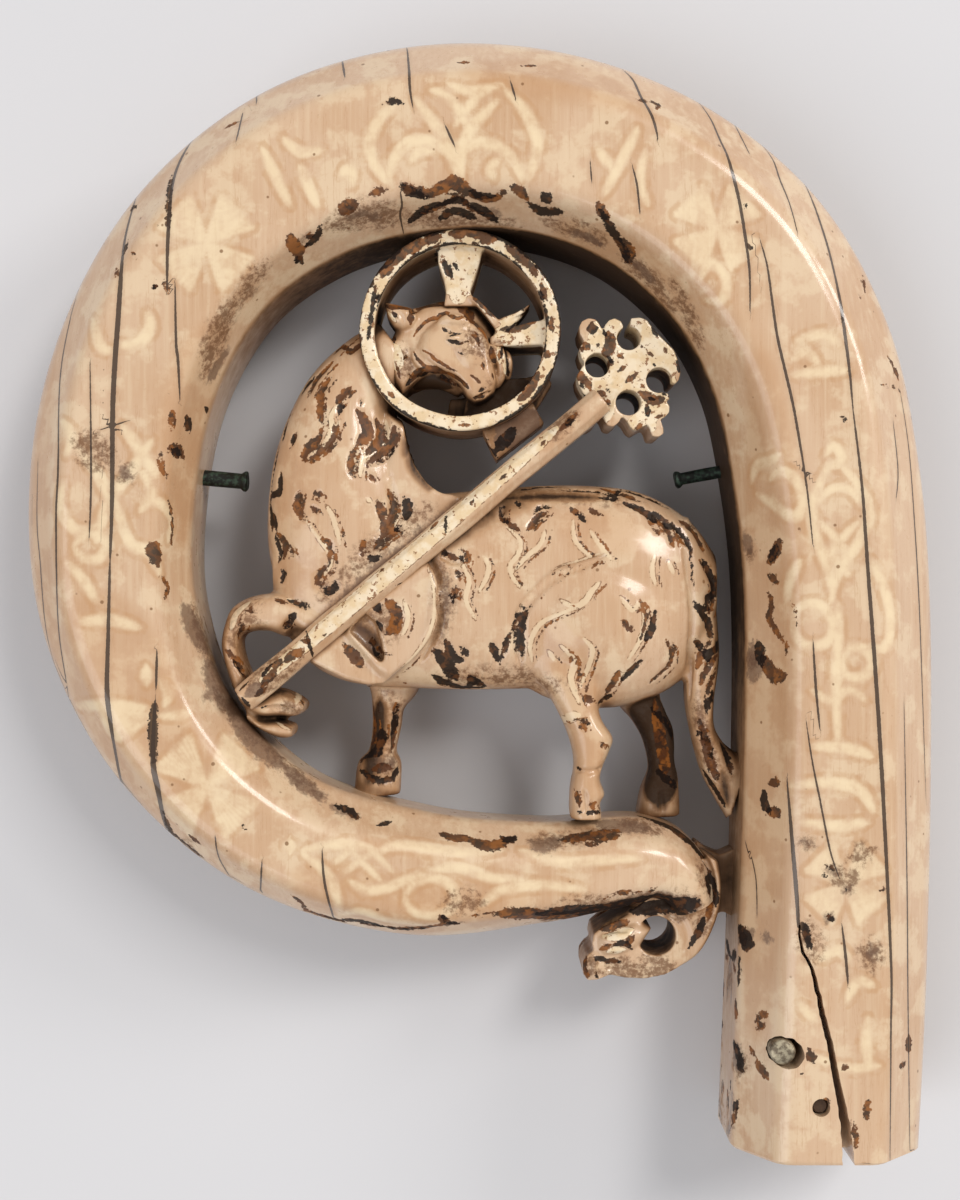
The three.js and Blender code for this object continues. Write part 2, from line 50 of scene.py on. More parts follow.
PICTURE_WIDE, PICTURE_HIGH = 960, 1200
FOCAL = 1804.8

camera_data = bpy.data.cameras.new("Camera")
camera_data.sensor_width = 36
camera_data.lens = 36 * FOCAL / PICTURE_HIGH
camera_data.clip_start = 0.01
camera = bpy.data.objects.new("Camera", camera_data)
bpy.context.scene.collection.objects.link(camera)
camera.location = (EYE_X * MM, EYE_Y * MM, EYE_HEIGHT * MM)
bpy.context.scene.camera = camera


def softbox(name, place, size, power, colour):
    """A square of soft light that faces the object."""
    light = bpy.data.lights.new(name, "AREA")
    light.shape = "RECTANGLE"
    light.size, light.size_y = size
    light.energy = power
    light.color = colour
    lamp = bpy.data.objects.new(name, light)
    bpy.context.scene.collection.objects.link(lamp)
    lamp.location = place
    lamp.rotation_euler = (-Vector(place)).to_track_quat("-Z", "Y").to_euler()


softbox("Window", (0.74, 0.76, 1.44), (0.40, 0.60), 13.0, (1.0, 0.985, 0.96))
softbox("Low window", (1.50, 0.75, 0.95), (0.50, 0.50), 12.0, (1.0, 0.985, 0.96))
softbox("Fill", (-1.10, -0.70, 1.50), (1.4, 1.4), 16.0, (0.96, 0.97, 1.0))
world = bpy.data.worlds.new("Room")
bpy.context.scene.world = world
world.use_nodes = True
world.node_tree.nodes["Background"].inputs["Color"].default_value = (0.80, 0.81, 0.82, 1)
world.node_tree.nodes["Background"].inputs["Strength"].default_value = 0.64
bpy.context.scene.view_settings.view_transform = "Standard"


def piece(name, points, faces):
    """A mesh object whose points are given in millimetres."""
    mesh = bpy.data.meshes.new(name)
    mesh.from_pydata([tuple(p) for p in np.asarray(points) * MM], [], faces)
    mesh.update()
    thing = bpy.data.objects.new(name, mesh)
    bpy.context.scene.collection.objects.link(thing)
    return thing


class Field:
    """A node socket that takes part in Python expressions."""

    tree = None

    def __init__(self, socket):
        self.socket = socket

    @classmethod
    def node(cls, kind, inputs=None, out=0, **settings):
        node = cls.tree.nodes.new(kind)
        for key, value in settings.items():
            setattr(node, key, value)
        for key, value in (inputs or {}).items():
            if isinstance(value, Field):
                cls.tree.links.new(value.socket, node.inputs[key])
            elif value is not None:
                node.inputs[key].default_value = value
        return cls(node.outputs[out])

    def maths(self, operation, other=None, swap=False):
        pair = (other, self) if swap else (self, other)
        return Field.node("ShaderNodeMath", {0: pair[0], 1: pair[1]}, operation=operation)

    def __add__(self, other):
        return self.maths("ADD", other)

    __radd__ = __add__

    def __sub__(self, other):
        return self.maths("SUBTRACT", other)

    def __rsub__(self, other):
        return self.maths("SUBTRACT", other, swap=True)

    def __mul__(self, other):
        return self.maths("MULTIPLY", other)

    __rmul__ = __mul__

    def __abs__(self):
        return self.maths("ABSOLUTE")

    def step(self, low, high):
        """0 below low, 1 above high, and smooth between."""
        return Field.node(
            "ShaderNodeMapRange", {"Value": self, 1: low, 2: high}, interpolation_type="SMOOTHSTEP"
        )

    def tint(self, colour, over):
        """The colour laid over another, as far as this mask covers."""
        four = lambda c: (*c, 1) if isinstance(c, tuple) else c
        return Field.node(
            "ShaderNodeMix", {0: self, 6: four(over), 7: four(colour)}, out=2, data_type="RGBA"
        )

    def scaled(self, by):
        """This vector, each part of it multiplied."""
        return Field.node("ShaderNodeVectorMath", {0: self, 1: by}, operation="MULTIPLY")


def noise_of(place, scale, detail=3.0, roughness=0.55):
    return Field.node(
        "ShaderNodeTexNoise",
        {"Vector": place, "Scale": scale, "Detail": detail, "Roughness": roughness},
    )


def new_material(name):
    """A material whose tree is open for the nodes that follow."""
    material = bpy.data.materials.new(name)
    material.use_nodes = True
    Field.tree = material.node_tree
    return material


def finish(colour, roughness, normal=None, metallic=None, coat=None):
    """Joins the fields to the Principled shader of the open tree."""
    shader = Field.tree.nodes["Principled BSDF"]
    for key, value in (
        ("Base Color", colour), ("Roughness", roughness), ("Metallic", metallic), ("Normal", normal),
        ("Coat Weight", coat),
    ):
        if isinstance(value, Field):
            Field.tree.links.new(value.socket, shader.inputs[key])
        elif value is not None:
            shader.inputs[key].default_value = value


def shade(*rgb):
    """A colour given as it is seen, from 0 to 255, as the light it sends back."""
    return tuple((c / 255) ** 2.2 for c in rgb)


def place_in_mm():
    return Field.node("ShaderNodeTexCoord", out="Object").scaled((1000, 1000, 1000))


floor = piece(
    "Floor", [(-2500, -2500, 0), (2500, -2500, 0), (2500, 2500, 0), (-2500, 2500, 0)], [(0, 1, 2, 3)]
)
board = new_material("pale matt board")
finish(noise_of(place_in_mm(), 0.009).tint(shade(206, 204, 205), shade(200, 199, 201)), 0.85)
floor.data.materials.append(board)

# The crook.
# One length of ivory, cut to eight facets. It rises as the shaft, curls over to the left and
# comes back as a thinning arm. Its arrises are worn, and its open end is bored and cracked.
SHAFT_END = -70.0
WALL_SHARE = 0.46
# Down the middle line: x, y, width, depth, inner bevel, outer bevel.
CROOK = [
    (43.9, SHAFT_END, 24.1, 28, 5.0, 6.6),
    (44.8, -50, 24.3, 28, 5.1, 6.8),
    (45.5, -25, 24.1, 28, 5.2, 7.0),
    (45.5, -1, 23.9, 28, 5.1, 7.0),
    (44.1, 15, 24.1, 28, 4.9, 6.9),
    (40.8, 30, 24.2, 28, 4.4, 6.8),
    (33.7, 42.7, 24.3, 28, 3.9, 6.8),
    (22.0, 52.4, 23.7, 28, 3.6, 6.7),
    (7.7, 57.5, 23.7, 28, 3.6, 6.6),
    (-7.5, 57.8, 24.0, 28, 3.6, 6.5),
    (-22.4, 53.4, 23.4, 28, 3.5, 6.4),
    (-34.9, 43.9, 22.1, 28, 3.2, 6.1),
    (-43.1, 30.2, 21.6, 27, 3.0, 5.9),
    (-46.7, 14.5, 21.4, 26, 2.9, 5.7),
    (-46.0, -2.3, 20.1, 25, 3.6, 5.2),
    (-39.0, -18.3, 17.9, 23, 4.6, 4.5),
    (-25.8, -30.3, 16.6, 21, 4.6, 3.8),
    (-8.7, -35.6, 16.2, 19.5, 4.0, 3.2),
    (7.5, -35.7, 13.2, 18, 3.5, 2.8),
    (20.5, -34.2, 11.2, 16.6, 3.0, 2.4),
    (25.6, -36.2, 8.6, 15.4, 2.4, 2.2),
    (27.6, -40.0, 6.2, 14, 1.8, 1.8),
]


def between(stations, steps):
    """Rows carried on smoothly between the given ones, at an even count for each span."""
    rows = np.array(stations, float)
    last = len(rows) - 1
    t = np.linspace(0, last, steps + 1)
    k = np.minimum(t.astype(int), last - 1)
    f = (t - k)[:, None]
    a, b, c, d = (rows[np.clip(k + j, 0, last)] for j in (-1, 0, 1, 2))
    curve = 2 * a - 5 * b + 4 * c - d
    twist = 3 * (b - c) + d - a
    return 0.5 * (2 * b + (c - a) * f + curve * f**2 + twist * f**3)


def evenly(stations, steps):
    """The same, but with rows at equal distances along the line."""
    fine = between(stations, 4000)
    run = np.concatenate([[0], np.cumsum(np.linalg.norm(np.diff(fine[:, :2], axis=0), axis=1))])
    goal = np.linspace(0, run[-1], steps + 1)
    return np.stack([np.interp(goal, run, column) for column in fine.T], axis=1)


def across(rows):
    """Unit directions at right angles to a line of rows, to its right."""
    a = np.vstack([rows[:1], rows[:-1]])
    b = np.vstack([rows[1:], rows[-1:]])
    side = np.stack([b[:, 1] - a[:, 1], a[:, 0] - b[:, 0]], axis=1)
    return side / np.linalg.norm(side, axis=1)[:, None]


def outward(thing):
    """Turns every face of a closed piece to point out of it."""
    mesh = thing.data
    mesh.calc_loop_triangles()
    points = np.zeros(len(mesh.vertices) * 3)
    mesh.vertices.foreach_get("co", points)
    corners = np.zeros(len(mesh.loop_triangles) * 3, int)
    mesh.loop_triangles.foreach_get("vertices", corners)
    a, b, c = points.reshape(-1, 3)[corners].reshape(-1, 3, 3).transpose(1, 0, 2)
    if (a * np.cross(b, c)).sum() < 0:
        mesh.flip_normals()
    return thing


def loft(name, rings):
    """A closed skin over rings of points, rows by columns by xyz."""
    rows, count = rings.shape[:2]
    points = np.vstack([rings.reshape(-1, 3), rings[0].mean(0), rings[-1].mean(0)])
    i = np.arange(rows - 1)[:, None] * count
    j = np.arange(count)[None, :]
    n = (j + 1) % count
    quads = np.stack([i + j, i + n, i + count + n, i + count + j], axis=-1).reshape(-1, 4)
    start, end, tail = rows * count, rows * count + 1, (rows - 1) * count
    caps = [(start, (c + 1) % count, c) for c in range(count)]
    caps += [(end, tail + c, tail + (c + 1) % count) for c in range(count)]
    return outward(piece(name, points, quads.tolist() + caps))


def eased(corners, ease, fillet_steps, edge_steps):
    """Rings through eight corners, each corner eased over a distance along its edges."""
    columns = []
    count = corners.shape[1]
    length = lambda v: np.linalg.norm(v, axis=1)[:, None]
    for k in range(count):
        p = corners[:, k]
        before, after = corners[:, k - 1] - p, corners[:, (k + 1) % count] - p
        d = np.minimum(ease[k], 0.46 * np.minimum(length(before), length(after)))
        a, b = p + before / length(before) * d, p + after / length(after) * d
        for t in np.linspace(0, 1, fillet_steps[k] + 1):
            columns.append((1 - t) ** 2 * a + 2 * t * (1 - t) * p + t**2 * b)
        q = corners[:, (k + 1) % count]
        back = p - q
        e = np.minimum(ease[(k + 1) % count], 0.46 * np.minimum(
            length(back), length(corners[:, (k + 2) % count] - q)))
        c = q + back / length(back) * e
        for t in np.linspace(0, 1, edge_steps[k] + 1)[1:-1]:
            columns.append((1 - t) * b + t * c)
    return np.stack(columns, axis=1)


crook_rows = evenly(CROOK, 700)
x, y, width, depth, inner, outer = crook_rows.T
side = across(crook_rows)
side[0] = (1, 0)
face = np.minimum(depth, DEPTH) / 2
wall = face * WALL_SHARE
section = [
    (0 * width, -wall), (0 * width, wall), (inner, face), (width - outer, face),
    (width, wall), (width, -wall), (width - outer, -face), (inner, -face),
]
corners = np.stack([
    np.stack([x + side[:, 0] * (u - width / 2), y + side[:, 1] * (u - width / 2), MID + v], axis=1)
    for u, v in section
], axis=1)
ARRIS_EASE = (0.7, 0.8, 1.7, 1.5, 2.2, 2.2, 1.8, 1.6)
rings = eased(corners, ARRIS_EASE, (2, 2, 4, 5, 4, 3, 3, 3), (9, 19, 29, 21, 8, 7, 9, 6))
# The end is cut square, with a slightly worn rim.
rim = rings[0].copy()
middle = rim.mean(0)
rim[:, [0, 2]] = middle[[0, 2]] + (rim[:, [0, 2]] - middle[[0, 2]]) * 0.975
rings[0, :, 1] += 0.35
crook = loft("crook", np.vstack([rim[None], rings]))


def settle(thing):
    """Makes the result of a piece's modifiers its own mesh."""
    graph = bpy.context.evaluated_depsgraph_get()
    graph.update()
    mesh = bpy.data.meshes.new_from_object(thing.evaluated_get(graph))
    thing.modifiers.clear()
    thing.data = mesh
    mesh.name = thing.name


def hollow_out(body, tool):
    """Cuts the tool's space out of the body, and throws the tool away."""
    cut = body.modifiers.new("cut", "BOOLEAN")
    cut.operation = "DIFFERENCE"
    cut.solver = "MANIFOLD"
    cut.object = tool
    settle(body)
    bpy.data.objects.remove(tool)


def circle(sides):
    """Angles at even steps once round."""
    return np.linspace(0, 2 * math.pi, sides, endpoint=False)


def turned(name, profile, place, sides, lean=None):
    """A body turned about an axis from radius and height pairs, with its ends closed."""
    angle = circle(sides)
    rings = np.stack([
        np.stack([r * np.cos(angle), r * np.sin(angle), np.full(sides, h)], axis=1) for r, h in profile
    ])
    if lean is not None:
        c, s = math.cos(math.radians(lean)), math.sin(math.radians(lean))
        u, v, h = rings[..., 0], rings[..., 1], rings[..., 2]
        rings = np.stack([h * c - u * s, h * s + u * c, v], axis=-1)
    return loft(name, rings + np.array(place))


def slab(name, outline, back, front):
    """A flat shape with upright walls."""
    flat = np.array(outline, float)
    count = len(flat)
    points = np.vstack([np.column_stack([flat, np.full(count, z)]) for z in (back, front)])
    walls = [(i, (i + 1) % count, count + (i + 1) % count, count + i) for i in range(count)]
    ends = [tuple(range(count))[::-1], tuple(range(count, 2 * count))]
    return outward(piece(name, points, walls + ends))


BORE_X, BORE_R, BORE_DEEP = 43.9, 6.0, 30.0
bore = turned("bore", [(BORE_R, 0), (BORE_R, BORE_DEEP + 1)], (BORE_X, SHAFT_END - 1, MID), 64, 90)
hollow_out(crook, bore)
RIVET_X, RIVET_Y = 37.3, -56.2
PEG_X, PEG_Y = 41.9, -62.9
CLEAR_OF_FRONT = 30
# The rivet's hole has broken out to a ragged gap on its right.
angle = circle(48)
ragged = [
    1.85 + 0.62 * max(0, math.cos(a + 0.35)) ** 1.5
    + 0.22 * noise.noise((3 * math.cos(a), 3 * math.sin(a), 7)) for a in angle
]
hollow_out(crook, slab("gap", np.column_stack([
    RIVET_X + 0.1 + ragged * np.cos(angle), RIVET_Y + ragged * np.sin(angle)]), 19, CLEAR_OF_FRONT))
hollow_out(crook, turned("hole", [(1.1, 18), (1.1, CLEAR_OF_FRONT)], (PEG_X, PEG_Y, 0), 32))
# The open crack from the end of the shaft: x, y, width.
CRACK = [
    (45.4, -71, 1.5), (44.8, -64.9, 1.2), (43.9, -60.1, 0.9), (43.0, -55.4, 0.8),
    (41.9, -50.8, 0.7), (40.8, -46.1, 0.5), (39.5, -43.3, 0.4), (39.2, -40.5, 0.25),
]
crack = between(CRACK, 60)
wander = np.array([noise.noise((0, y * 0.9, 3.1)) * 0.22 for y in crack[:, 1]])
left = np.column_stack([crack[:, 0] + wander - crack[:, 2] / 2, crack[:, 1]])
right = np.column_stack([crack[:, 0] + wander * 0.7 + crack[:, 2] / 2, crack[:, 1]])
hollow_out(crook, slab("crack", np.vstack([left, right[::-1]]), 20.6, CLEAR_OF_FRONT))


def smooth(thing, angle):
    """Shades a piece as smooth, but for edges sharper than the angle."""
    thing.data.shade_smooth()
    thing.data.set_sharp_from_angle(angle=math.radians(angle))


smooth(crook, 38)


def points_of(thing, kind="co"):
    """Every point of a mesh in millimetres, or every normal."""
    flat = np.zeros(len(thing.data.vertices) * 3)
    thing.data.vertices.foreach_get(kind, flat)
    return flat.reshape(-1, 3) / (MM if kind == "co" else 1)


def together(things):
    """The points and faces of several pieces as one list of each."""
    points, faces = [], []
    for thing in things:
        offset = len(points)
        points += points_of(thing).tolist()
        faces += [[offset + i for i in f.vertices] for f in thing.data.polygons]
    return points, faces


def tree_of(*things):
    """The skins of pieces, ready to be asked what a line meets."""
    return BVHTree.FromPolygons(*together(things))


# Millimetres of stroke for each point of its written width. A point is only about 0.13 mm
# wide there, but the ragged edges of the paint eat into a stroke from both sides.
BRUSH = 0.175


def laid(skin, text):
    """Strokes laid on what the camera sees of a skin, one a line of the text.

    A line gives the width, or the widths at both ends, and then the places passed, all in
    points of the picture. What comes back is each stroke's trail in millimetres.
    """
    eye = Vector((EYE_X, EYE_Y, EYE_HEIGHT))
    for words in filter(None, map(str.split, text.splitlines())):
        width = [float(w) * BRUSH for w in words[0].split("-")]
        line = np.array([[float(c) for c in w.split(",")] for w in words[1:]])
        steps = max(2, int(np.abs(np.diff(line, axis=0)).sum() / 5))
        trail = []
        for px, py in between(line, steps):
            ray = Vector(((px - PICTURE_WIDE / 2) / FOCAL, (PICTURE_HIGH / 2 - py) / FOCAL, -1))
            met = skin.ray_cast(eye, ray.normalized())[0]
            met = met or skin.find_nearest(eye + ray * (EYE_HEIGHT - MID - 6))[0]
            trail.append(tuple(met))
        t = np.linspace(0, 1, steps + 1)
        if len(width) == 2:
            half = np.interp(t, (0, 1), width) / 2
        else:
            half = width[0] / 2 * (0.3 + 0.7 * np.sin(math.pi * t) ** 0.6)
        yield np.array(trail), half


STRETCH = 6
JUMP = 4


def along(points, trail, half, reach):
    """For each short stretch of a trail, the points near it, their offsets and the half width.

    A step longer than the jump has left the piece for what lies behind it, and isn't drawn.
    """
    for s in range(0, len(trail) - 1, STRETCH):
        a, b = trail[s:s + STRETCH], trail[s + 1:s + 1 + STRETCH]
        a = a[:len(b)]
        ha, hb = half[s:s + len(b)], half[s + 1:s + 1 + len(b)]
        step = b - a
        whole = np.linalg.norm(step, axis=1) < JUMP
        a, ha, hb, step = a[whole], ha[whole], hb[whole], step[whole]
        if not len(a):
            continue
        low, high = np.minimum(a, a + step).min(0) - reach, np.maximum(a, a + step).max(0) + reach
        who = np.flatnonzero(((points > low) & (points < high)).all(1))
        p = points[who][:, None]
        t = np.clip(((p - a) * step).sum(2) / np.maximum((step**2).sum(1), 1e-9), 0, 1)
        off = p - a - step * t[..., None]
        far = np.linalg.norm(off, axis=2)
        best = far.argmin(1)
        row = np.arange(len(who))
        turn = step[best, 0] * off[row, best, 1] - step[best, 1] * off[row, best, 0]
        yield who, far[row, best], np.sign(turn), (ha + (hb - ha) * t)[row, best]


def store(thing, name, value):
    """Keeps a value at every point of a piece, for its material."""
    kept = thing.data.attributes.new(name, "FLOAT", "POINT")
    kept.data.foreach_set("value", value)


def to_front(points):
    """Points of the back carried to the front, so that both sides take the same strokes."""
    points = points.copy()
    points[:, 2] = MID + np.abs(points[:, 2] - MID)
    return points


def painted(thing, skin, soft, **layers):
    """Lays strokes on a piece, front and back alike: above a half inside each stroke.

    The value falls off over twice the soft distance, in millimetres.
    """
    points = to_front(points_of(thing))
    for name, text in layers.items():
        value = np.zeros(len(points))
        for trail, half in laid(skin, text):
            for who, far, _, wide in along(points, to_front(trail), half, half.max() + soft):
                value[who] = np.maximum(value[who], 0.5 + (wide - far) / (2 * soft))
        store(thing, name, np.clip(value, 0, 1))


def cracked(thing, skin, text):
    """Hairlines: the signed distance to the nearest one, and its half width close to it."""
    points = to_front(points_of(thing))
    count = len(points)
    offset, nearest, gap = np.full(count, 1.5), np.full(count, 9.0), np.zeros(count)
    for trail, half in laid(skin, text):
        for who, far, turn, wide in along(points, trail, half, 1.6):
            closer = far < nearest[who]
            who, far, turn, wide = who[closer], far[closer], turn[closer], wide[closer]
            nearest[who] = far
            offset[who] = np.minimum(far, 1.5) * turn
            gap[who] = np.where(far < 1.1, wide, 0)
    store(thing, "split", offset)
    store(thing, "gap", gap)


crook_skin = tree_of(crook)
# The ghosts of gilt ribbons: palmettes, lozenges and crosses with flaring arms.
RIBBONS = """
9 395,105 380,118 372,135 370,152 378,170 390,184
9 388,182 392,165 400,150 415,140 435,143 450,155 457,174
7 410,162 420,151 434,153
9 415,98 430,118 440,130 450,146 458,160
9 498,100 480,118 470,130 462,146 457,160
7 430,90 445,94 457,108 470,128
7 502,84 482,92 470,105 455,126
7 448,84 468,91 490,86
9 462,178 460,165 465,150 480,143 500,148 515,162 522,180
9 505,90 520,105 530,120 537,140 535,160 528,180
7 500,158 490,168 494,178
8 262,148 275,175 290,206
8 283,138 300,152 322,150
8 300,165 308,185 318,208
9 340,175 350,170 352,185
8 638,128 622,160 604,194
8 598,150 612,168
7 646,150 640,180 648,205
7 700,280 712,262 726,280 722,300 704,300
9 118,345 138,343 150,328 148,312
8 92,318 100,345 112,352
9 122,425 140,450 158,478
9 152,440 132,470 110,500 96,542
9 75,445 95,470 112,500 126,532
8 64,480 60,508 76,530 98,526
8 74,546 86,534 102,537 108,547 98,559 82,557 74,546
9 120,520 132,545 150,552 161,576
8 66,562 80,576 90,590 96,602
8 140,500 160,503 171,520 168,541
7 140,470 152,492 140,512
8 60,420 72,436 66,456
9 80,622 110,620 140,628
10 76,706 110,706 148,708
3-28 154,716 116,724
7 158,716 190,714
10 146,666 147,684
7 160,680 168,695 164,707
7 820,365 806,352 792,360
8 792,375 820,372 850,370
7 798,340 824,334 838,345
8 752,482 757,466 770,462 779,454
8 757,494 770,502 784,512 802,516
8 770,480 779,470 792,476 802,490 803,508 794,518 780,510 773,496
7 825,456 833,446 842,456 836,465 827,463
8 828,466 820,484 813,500 812,520 818,545 829,572 833,602
8 842,466 856,482 867,502 868,522 856,546 838,574 831,602
6 814,505 832,489 850,490 862,506
6 820,522 838,541 850,560
6 858,522 840,541 827,560
6 816,542 835,560 850,576
8 871,560 885,590 891,620 886,648 871,645
8 793,622 800,607 820,605 833,622 829,641 808,646 796,636 793,622
8 842,661 850,648 866,650 873,664 862,677 846,675 842,661
8 800,560 790,580 786,602
8 838,604 838,640 836,690 838,742
9 790,786 830,783 860,790 873,812
9 812,746 850,749 872,757
7 812,690 830,700 848,690 866,700
8 800,822 840,826 868,822
8 868,1018 866,1044 869,1070
8 846,1002 858,982 874,986
7 800,1004 816,1021
7 812,1056 846,1068 880,1066
8 820,960 838,950 850,962
16 287,846 293,846
8 302,851 330,845 355,845 376,851
8 302,852 318,865 331,880 337,900 340,916
5 335,863 350,850 366,844
5 345,873 361,860 379,849
5 350,849 365,865 381,881
5 366,844 379,858 393,872
9 381,850 400,845 430,848 462,852 502,850
8 350,881 366,890 386,888 406,880 422,875
8 405,896 415,883 433,878 450,885 456,901 446,913 425,916 409,908 405,896
9 341,915 361,912 386,920 422,925
8 431,870 462,868 492,878 524,880
8 481,906 502,890 542,885 584,890
8 520,850 562,862 602,860 642,858
"""
# Each cross is four arms set aslant, that widen from a narrow middle to a straight end.
for cx, cy, arm in ((206, 243, 46), (207, 786, 50), (717, 228, 40), (846, 884, 38)):
    for quarter in range(4):
        for fan in (-0.44, -0.33, -0.22, -0.11, 0.0, 0.11, 0.22, 0.33, 0.44):
            aim = math.radians(45 + 90 * quarter) + fan
            far = arm * 0.95 / math.cos(fan)
            RIBBONS += f"3-5 {cx},{cy} {cx + far * math.cos(aim):.0f},{cy + far * math.sin(aim):.0f}\n"
# The widest brown stroke, along the underside of the arm, is painted shade on its lower bevel and the gap
# under it.
BROWN = """
9 400,184 415,190 430,194 445,186 456,181 462,188 477,196 492,200 506,190
6 420,214 440,206 455,197 462,188
5 462,196 470,207 485,214
8 510,186 520,191 528,200
11 340,214 348,207 358,202
6 368,198 376,192 387,188
9 290,233 292,242 299,252 298,262
7 306,240 314,232
4 300,250 310,244
8 598,204 603,214 609,222
10 620,238 629,249 626,262
4 458,63 470,62
3 520,66 538,66
5 636,100 648,101
4 648,101 658,104 656,109
6 171,410 173,418 172,430
8 168,446 178,450 184,458
4 163,450 160,462 166,478
3 168,500 172,520 171,545
11 152,541 154,552 158,566
4 160,576 168,588 164,598
9 780,540 776,550 768,563
7 768,575 778,582
6 768,592 772,604 769,616 776,630 784,641
4 788,640 787,655
12 762,655 768,668 776,676 786,676
3 792,600 796,625
9 770,783 779,782
8 766,812 776,812 780,818
7 733,965 736,972
9 735,996 736,1020
5 754,1022 762,1014 768,1016
6 756,1028 766,1024
6 750,1048 755,1056
8 756,1062 764,1072 768,1078
8 808,1048 812,1058 816,1058
5 800,1072 804,1074
6 842,1068 848,1067
10 908,1036 909,1052
6 899,1068 906,1062
4 729,1082 727,1100 725,1125
6 737,1110 731,1125
5 826,1102 830,1100
4 852,1120 855,1135 856,1148
4 863,275 865,292
3 858,295 862,298
4 888,356 896,372 899,380
2 880,385 892,387 900,391
4 868,1100 866,1120
7 190,836 200,844
5 293,896 302,903 306,912
4 312,912 335,918
5 441,833 455,838 470,838
10 470,840 490,846 513,838
9 440,833 455,838 470,838
18 500,914 580,916 650,920
7 300,925 320,928 345,926
10 560,840 590,836 618,832
6 440,915 446,926
4 340,920 400,928 440,925 470,922
3 470,916 500,914 520,920
6 588,846 604,840 622,834
4 600,900 620,893 640,892
4 650,892 656,888
9 741,932 744,944
3 132,252 136,258
5 116,268 118,278
4 152,288 158,286
3 164,278 168,292
4 225,128 238,122
"""
# The black strokes along the arm's underside, from 535,914 to 696,903, are painted shade on its lower bevel
# and the gap under it.
BLACK = """
8 410,222 422,211 440,203
8 470,203 485,212 497,222
9 440,219 456,211 475,219
7 400,186 412,192 428,198
7 470,190 480,196 495,196
8 440,205 456,200 470,205
9 529,203 541,211 553,212 562,211
10 543,194 549,203
8 600,211 612,230 622,245
8 616,238 624,250 626,262
7 320,226 316,238 306,246
6 296,256 302,264
4 384,104 392,101 403,103
9 186,418 190,430
8 172,450 181,456
7 778,545 770,560
11 757,642 760,652 762,665
8 764,790 764,802 770,812
15 738,928 746,940 752,944
9 733,1042 738,1055 742,1072
9 730,955 726,940
5 740,955 738,985
5 731,1080 728,1108
3 731,1125 728,1140
7 155,705 153,720 153,742 154,762
6 163,812 170,830 180,846 204,858
5 172,175 169,195 168,230
5 127,242 124,254
5 132,206 136,209
3 152,288 158,286
7 336,806 348,810 358,819
4 378,826 390,822
6 500,836 510,841 516,836
5 442,915 448,922 460,924
4 370,924 400,929 425,928
20 580,914 640,913 696,903
15 540,914 572,910 610,906
8 535,914 560,913
9 640,816 668,826 690,842 706,862
8 700,854 713,876 718,896
7 322,923 350,920 380,925
3 243,824 245,830
6 800,922 806,932 810,950
3 845,888 850,893
3 826,866 834,869
3 822,876 830,876
4 828,915 834,922
5 881,884 884,893
7 738,1100 733,1110
5 205,408 209,412
3 843,318 841,321
4 841,418 847,420
3 745,205 747,212
4 748,245 750,250
"""
DIRT = """
30 330,225 375,215 400,222
22 400,215 440,222 480,220 520,226
26 235,300 215,340 206,372
20 268,262 250,285 232,310
22 545,222 580,230 604,244
24 622,256 652,282 672,312
18 672,280 690,320 700,350
26 193,606 205,640 214,668
30 214,680 240,712 262,742
20 266,750 290,770 316,792
12 320,790 322,802
16 230,700 250,725
20 445,905 480,900
18 530,840 570,838 612,828
22 620,820 660,830
16 700,860 708,890
16 748,545 750,558
22 752,650 754,670
14 732,960 731,1000
30 736,1050 738,1075
14 722,1090 722,1130
20 840,870 850,890
20 870,940 872,970
20 806,925 814,955
26 860,848 864,860
12 800,842 812,844
16 782,1040 802,1052
26 560,906 620,905 690,898
18 540,918 580,920
14 120,466 131,480
26 180,845 196,852
26 76,440 110,460
"""
STAIN = """
20 184,606 194,628 206,650
26 206,660 222,690 244,718
26 232,706 252,736 282,766
16 286,766 300,782 320,796
10 318,790 322,802
8 212,690 204,700
16 745,534 750,552
20 752,646 755,664 752,676
24 742,930 746,944
10 762,936 772,940
16 734,1044 739,1070
10 730,955 727,1000
14 560,838 545,846 530,842
16 596,822 620,826 648,828
10 120,466 130,480
10 570,232 590,238 602,246
12 634,262 652,280
14 520,912 560,913 600,908
26 600,910 650,910 700,905
10 330,806 346,812 358,818
10 800,842 812,844
9 826,868 840,874
10 845,886 850,892
10 826,916 834,920
9 870,945 872,960
12 228,348 214,372 208,380
9 346,218 362,214 380,218
12 416,238 430,232
7 300,244 312,232
9 718,1090 722,1130
8 486,208 500,216
6 178,846 196,854
"""
TAN = """
60 760,360 768,480 770,620 768,760 762,900 756,1030
60 215,330 190,420 182,540
50 560,228 640,270 700,330
40 60,300 40,440 40,560 60,680
50 470,72 560,76 640,100
90 100,620 120,700 180,800
60 300,880 400,915 520,905
"""
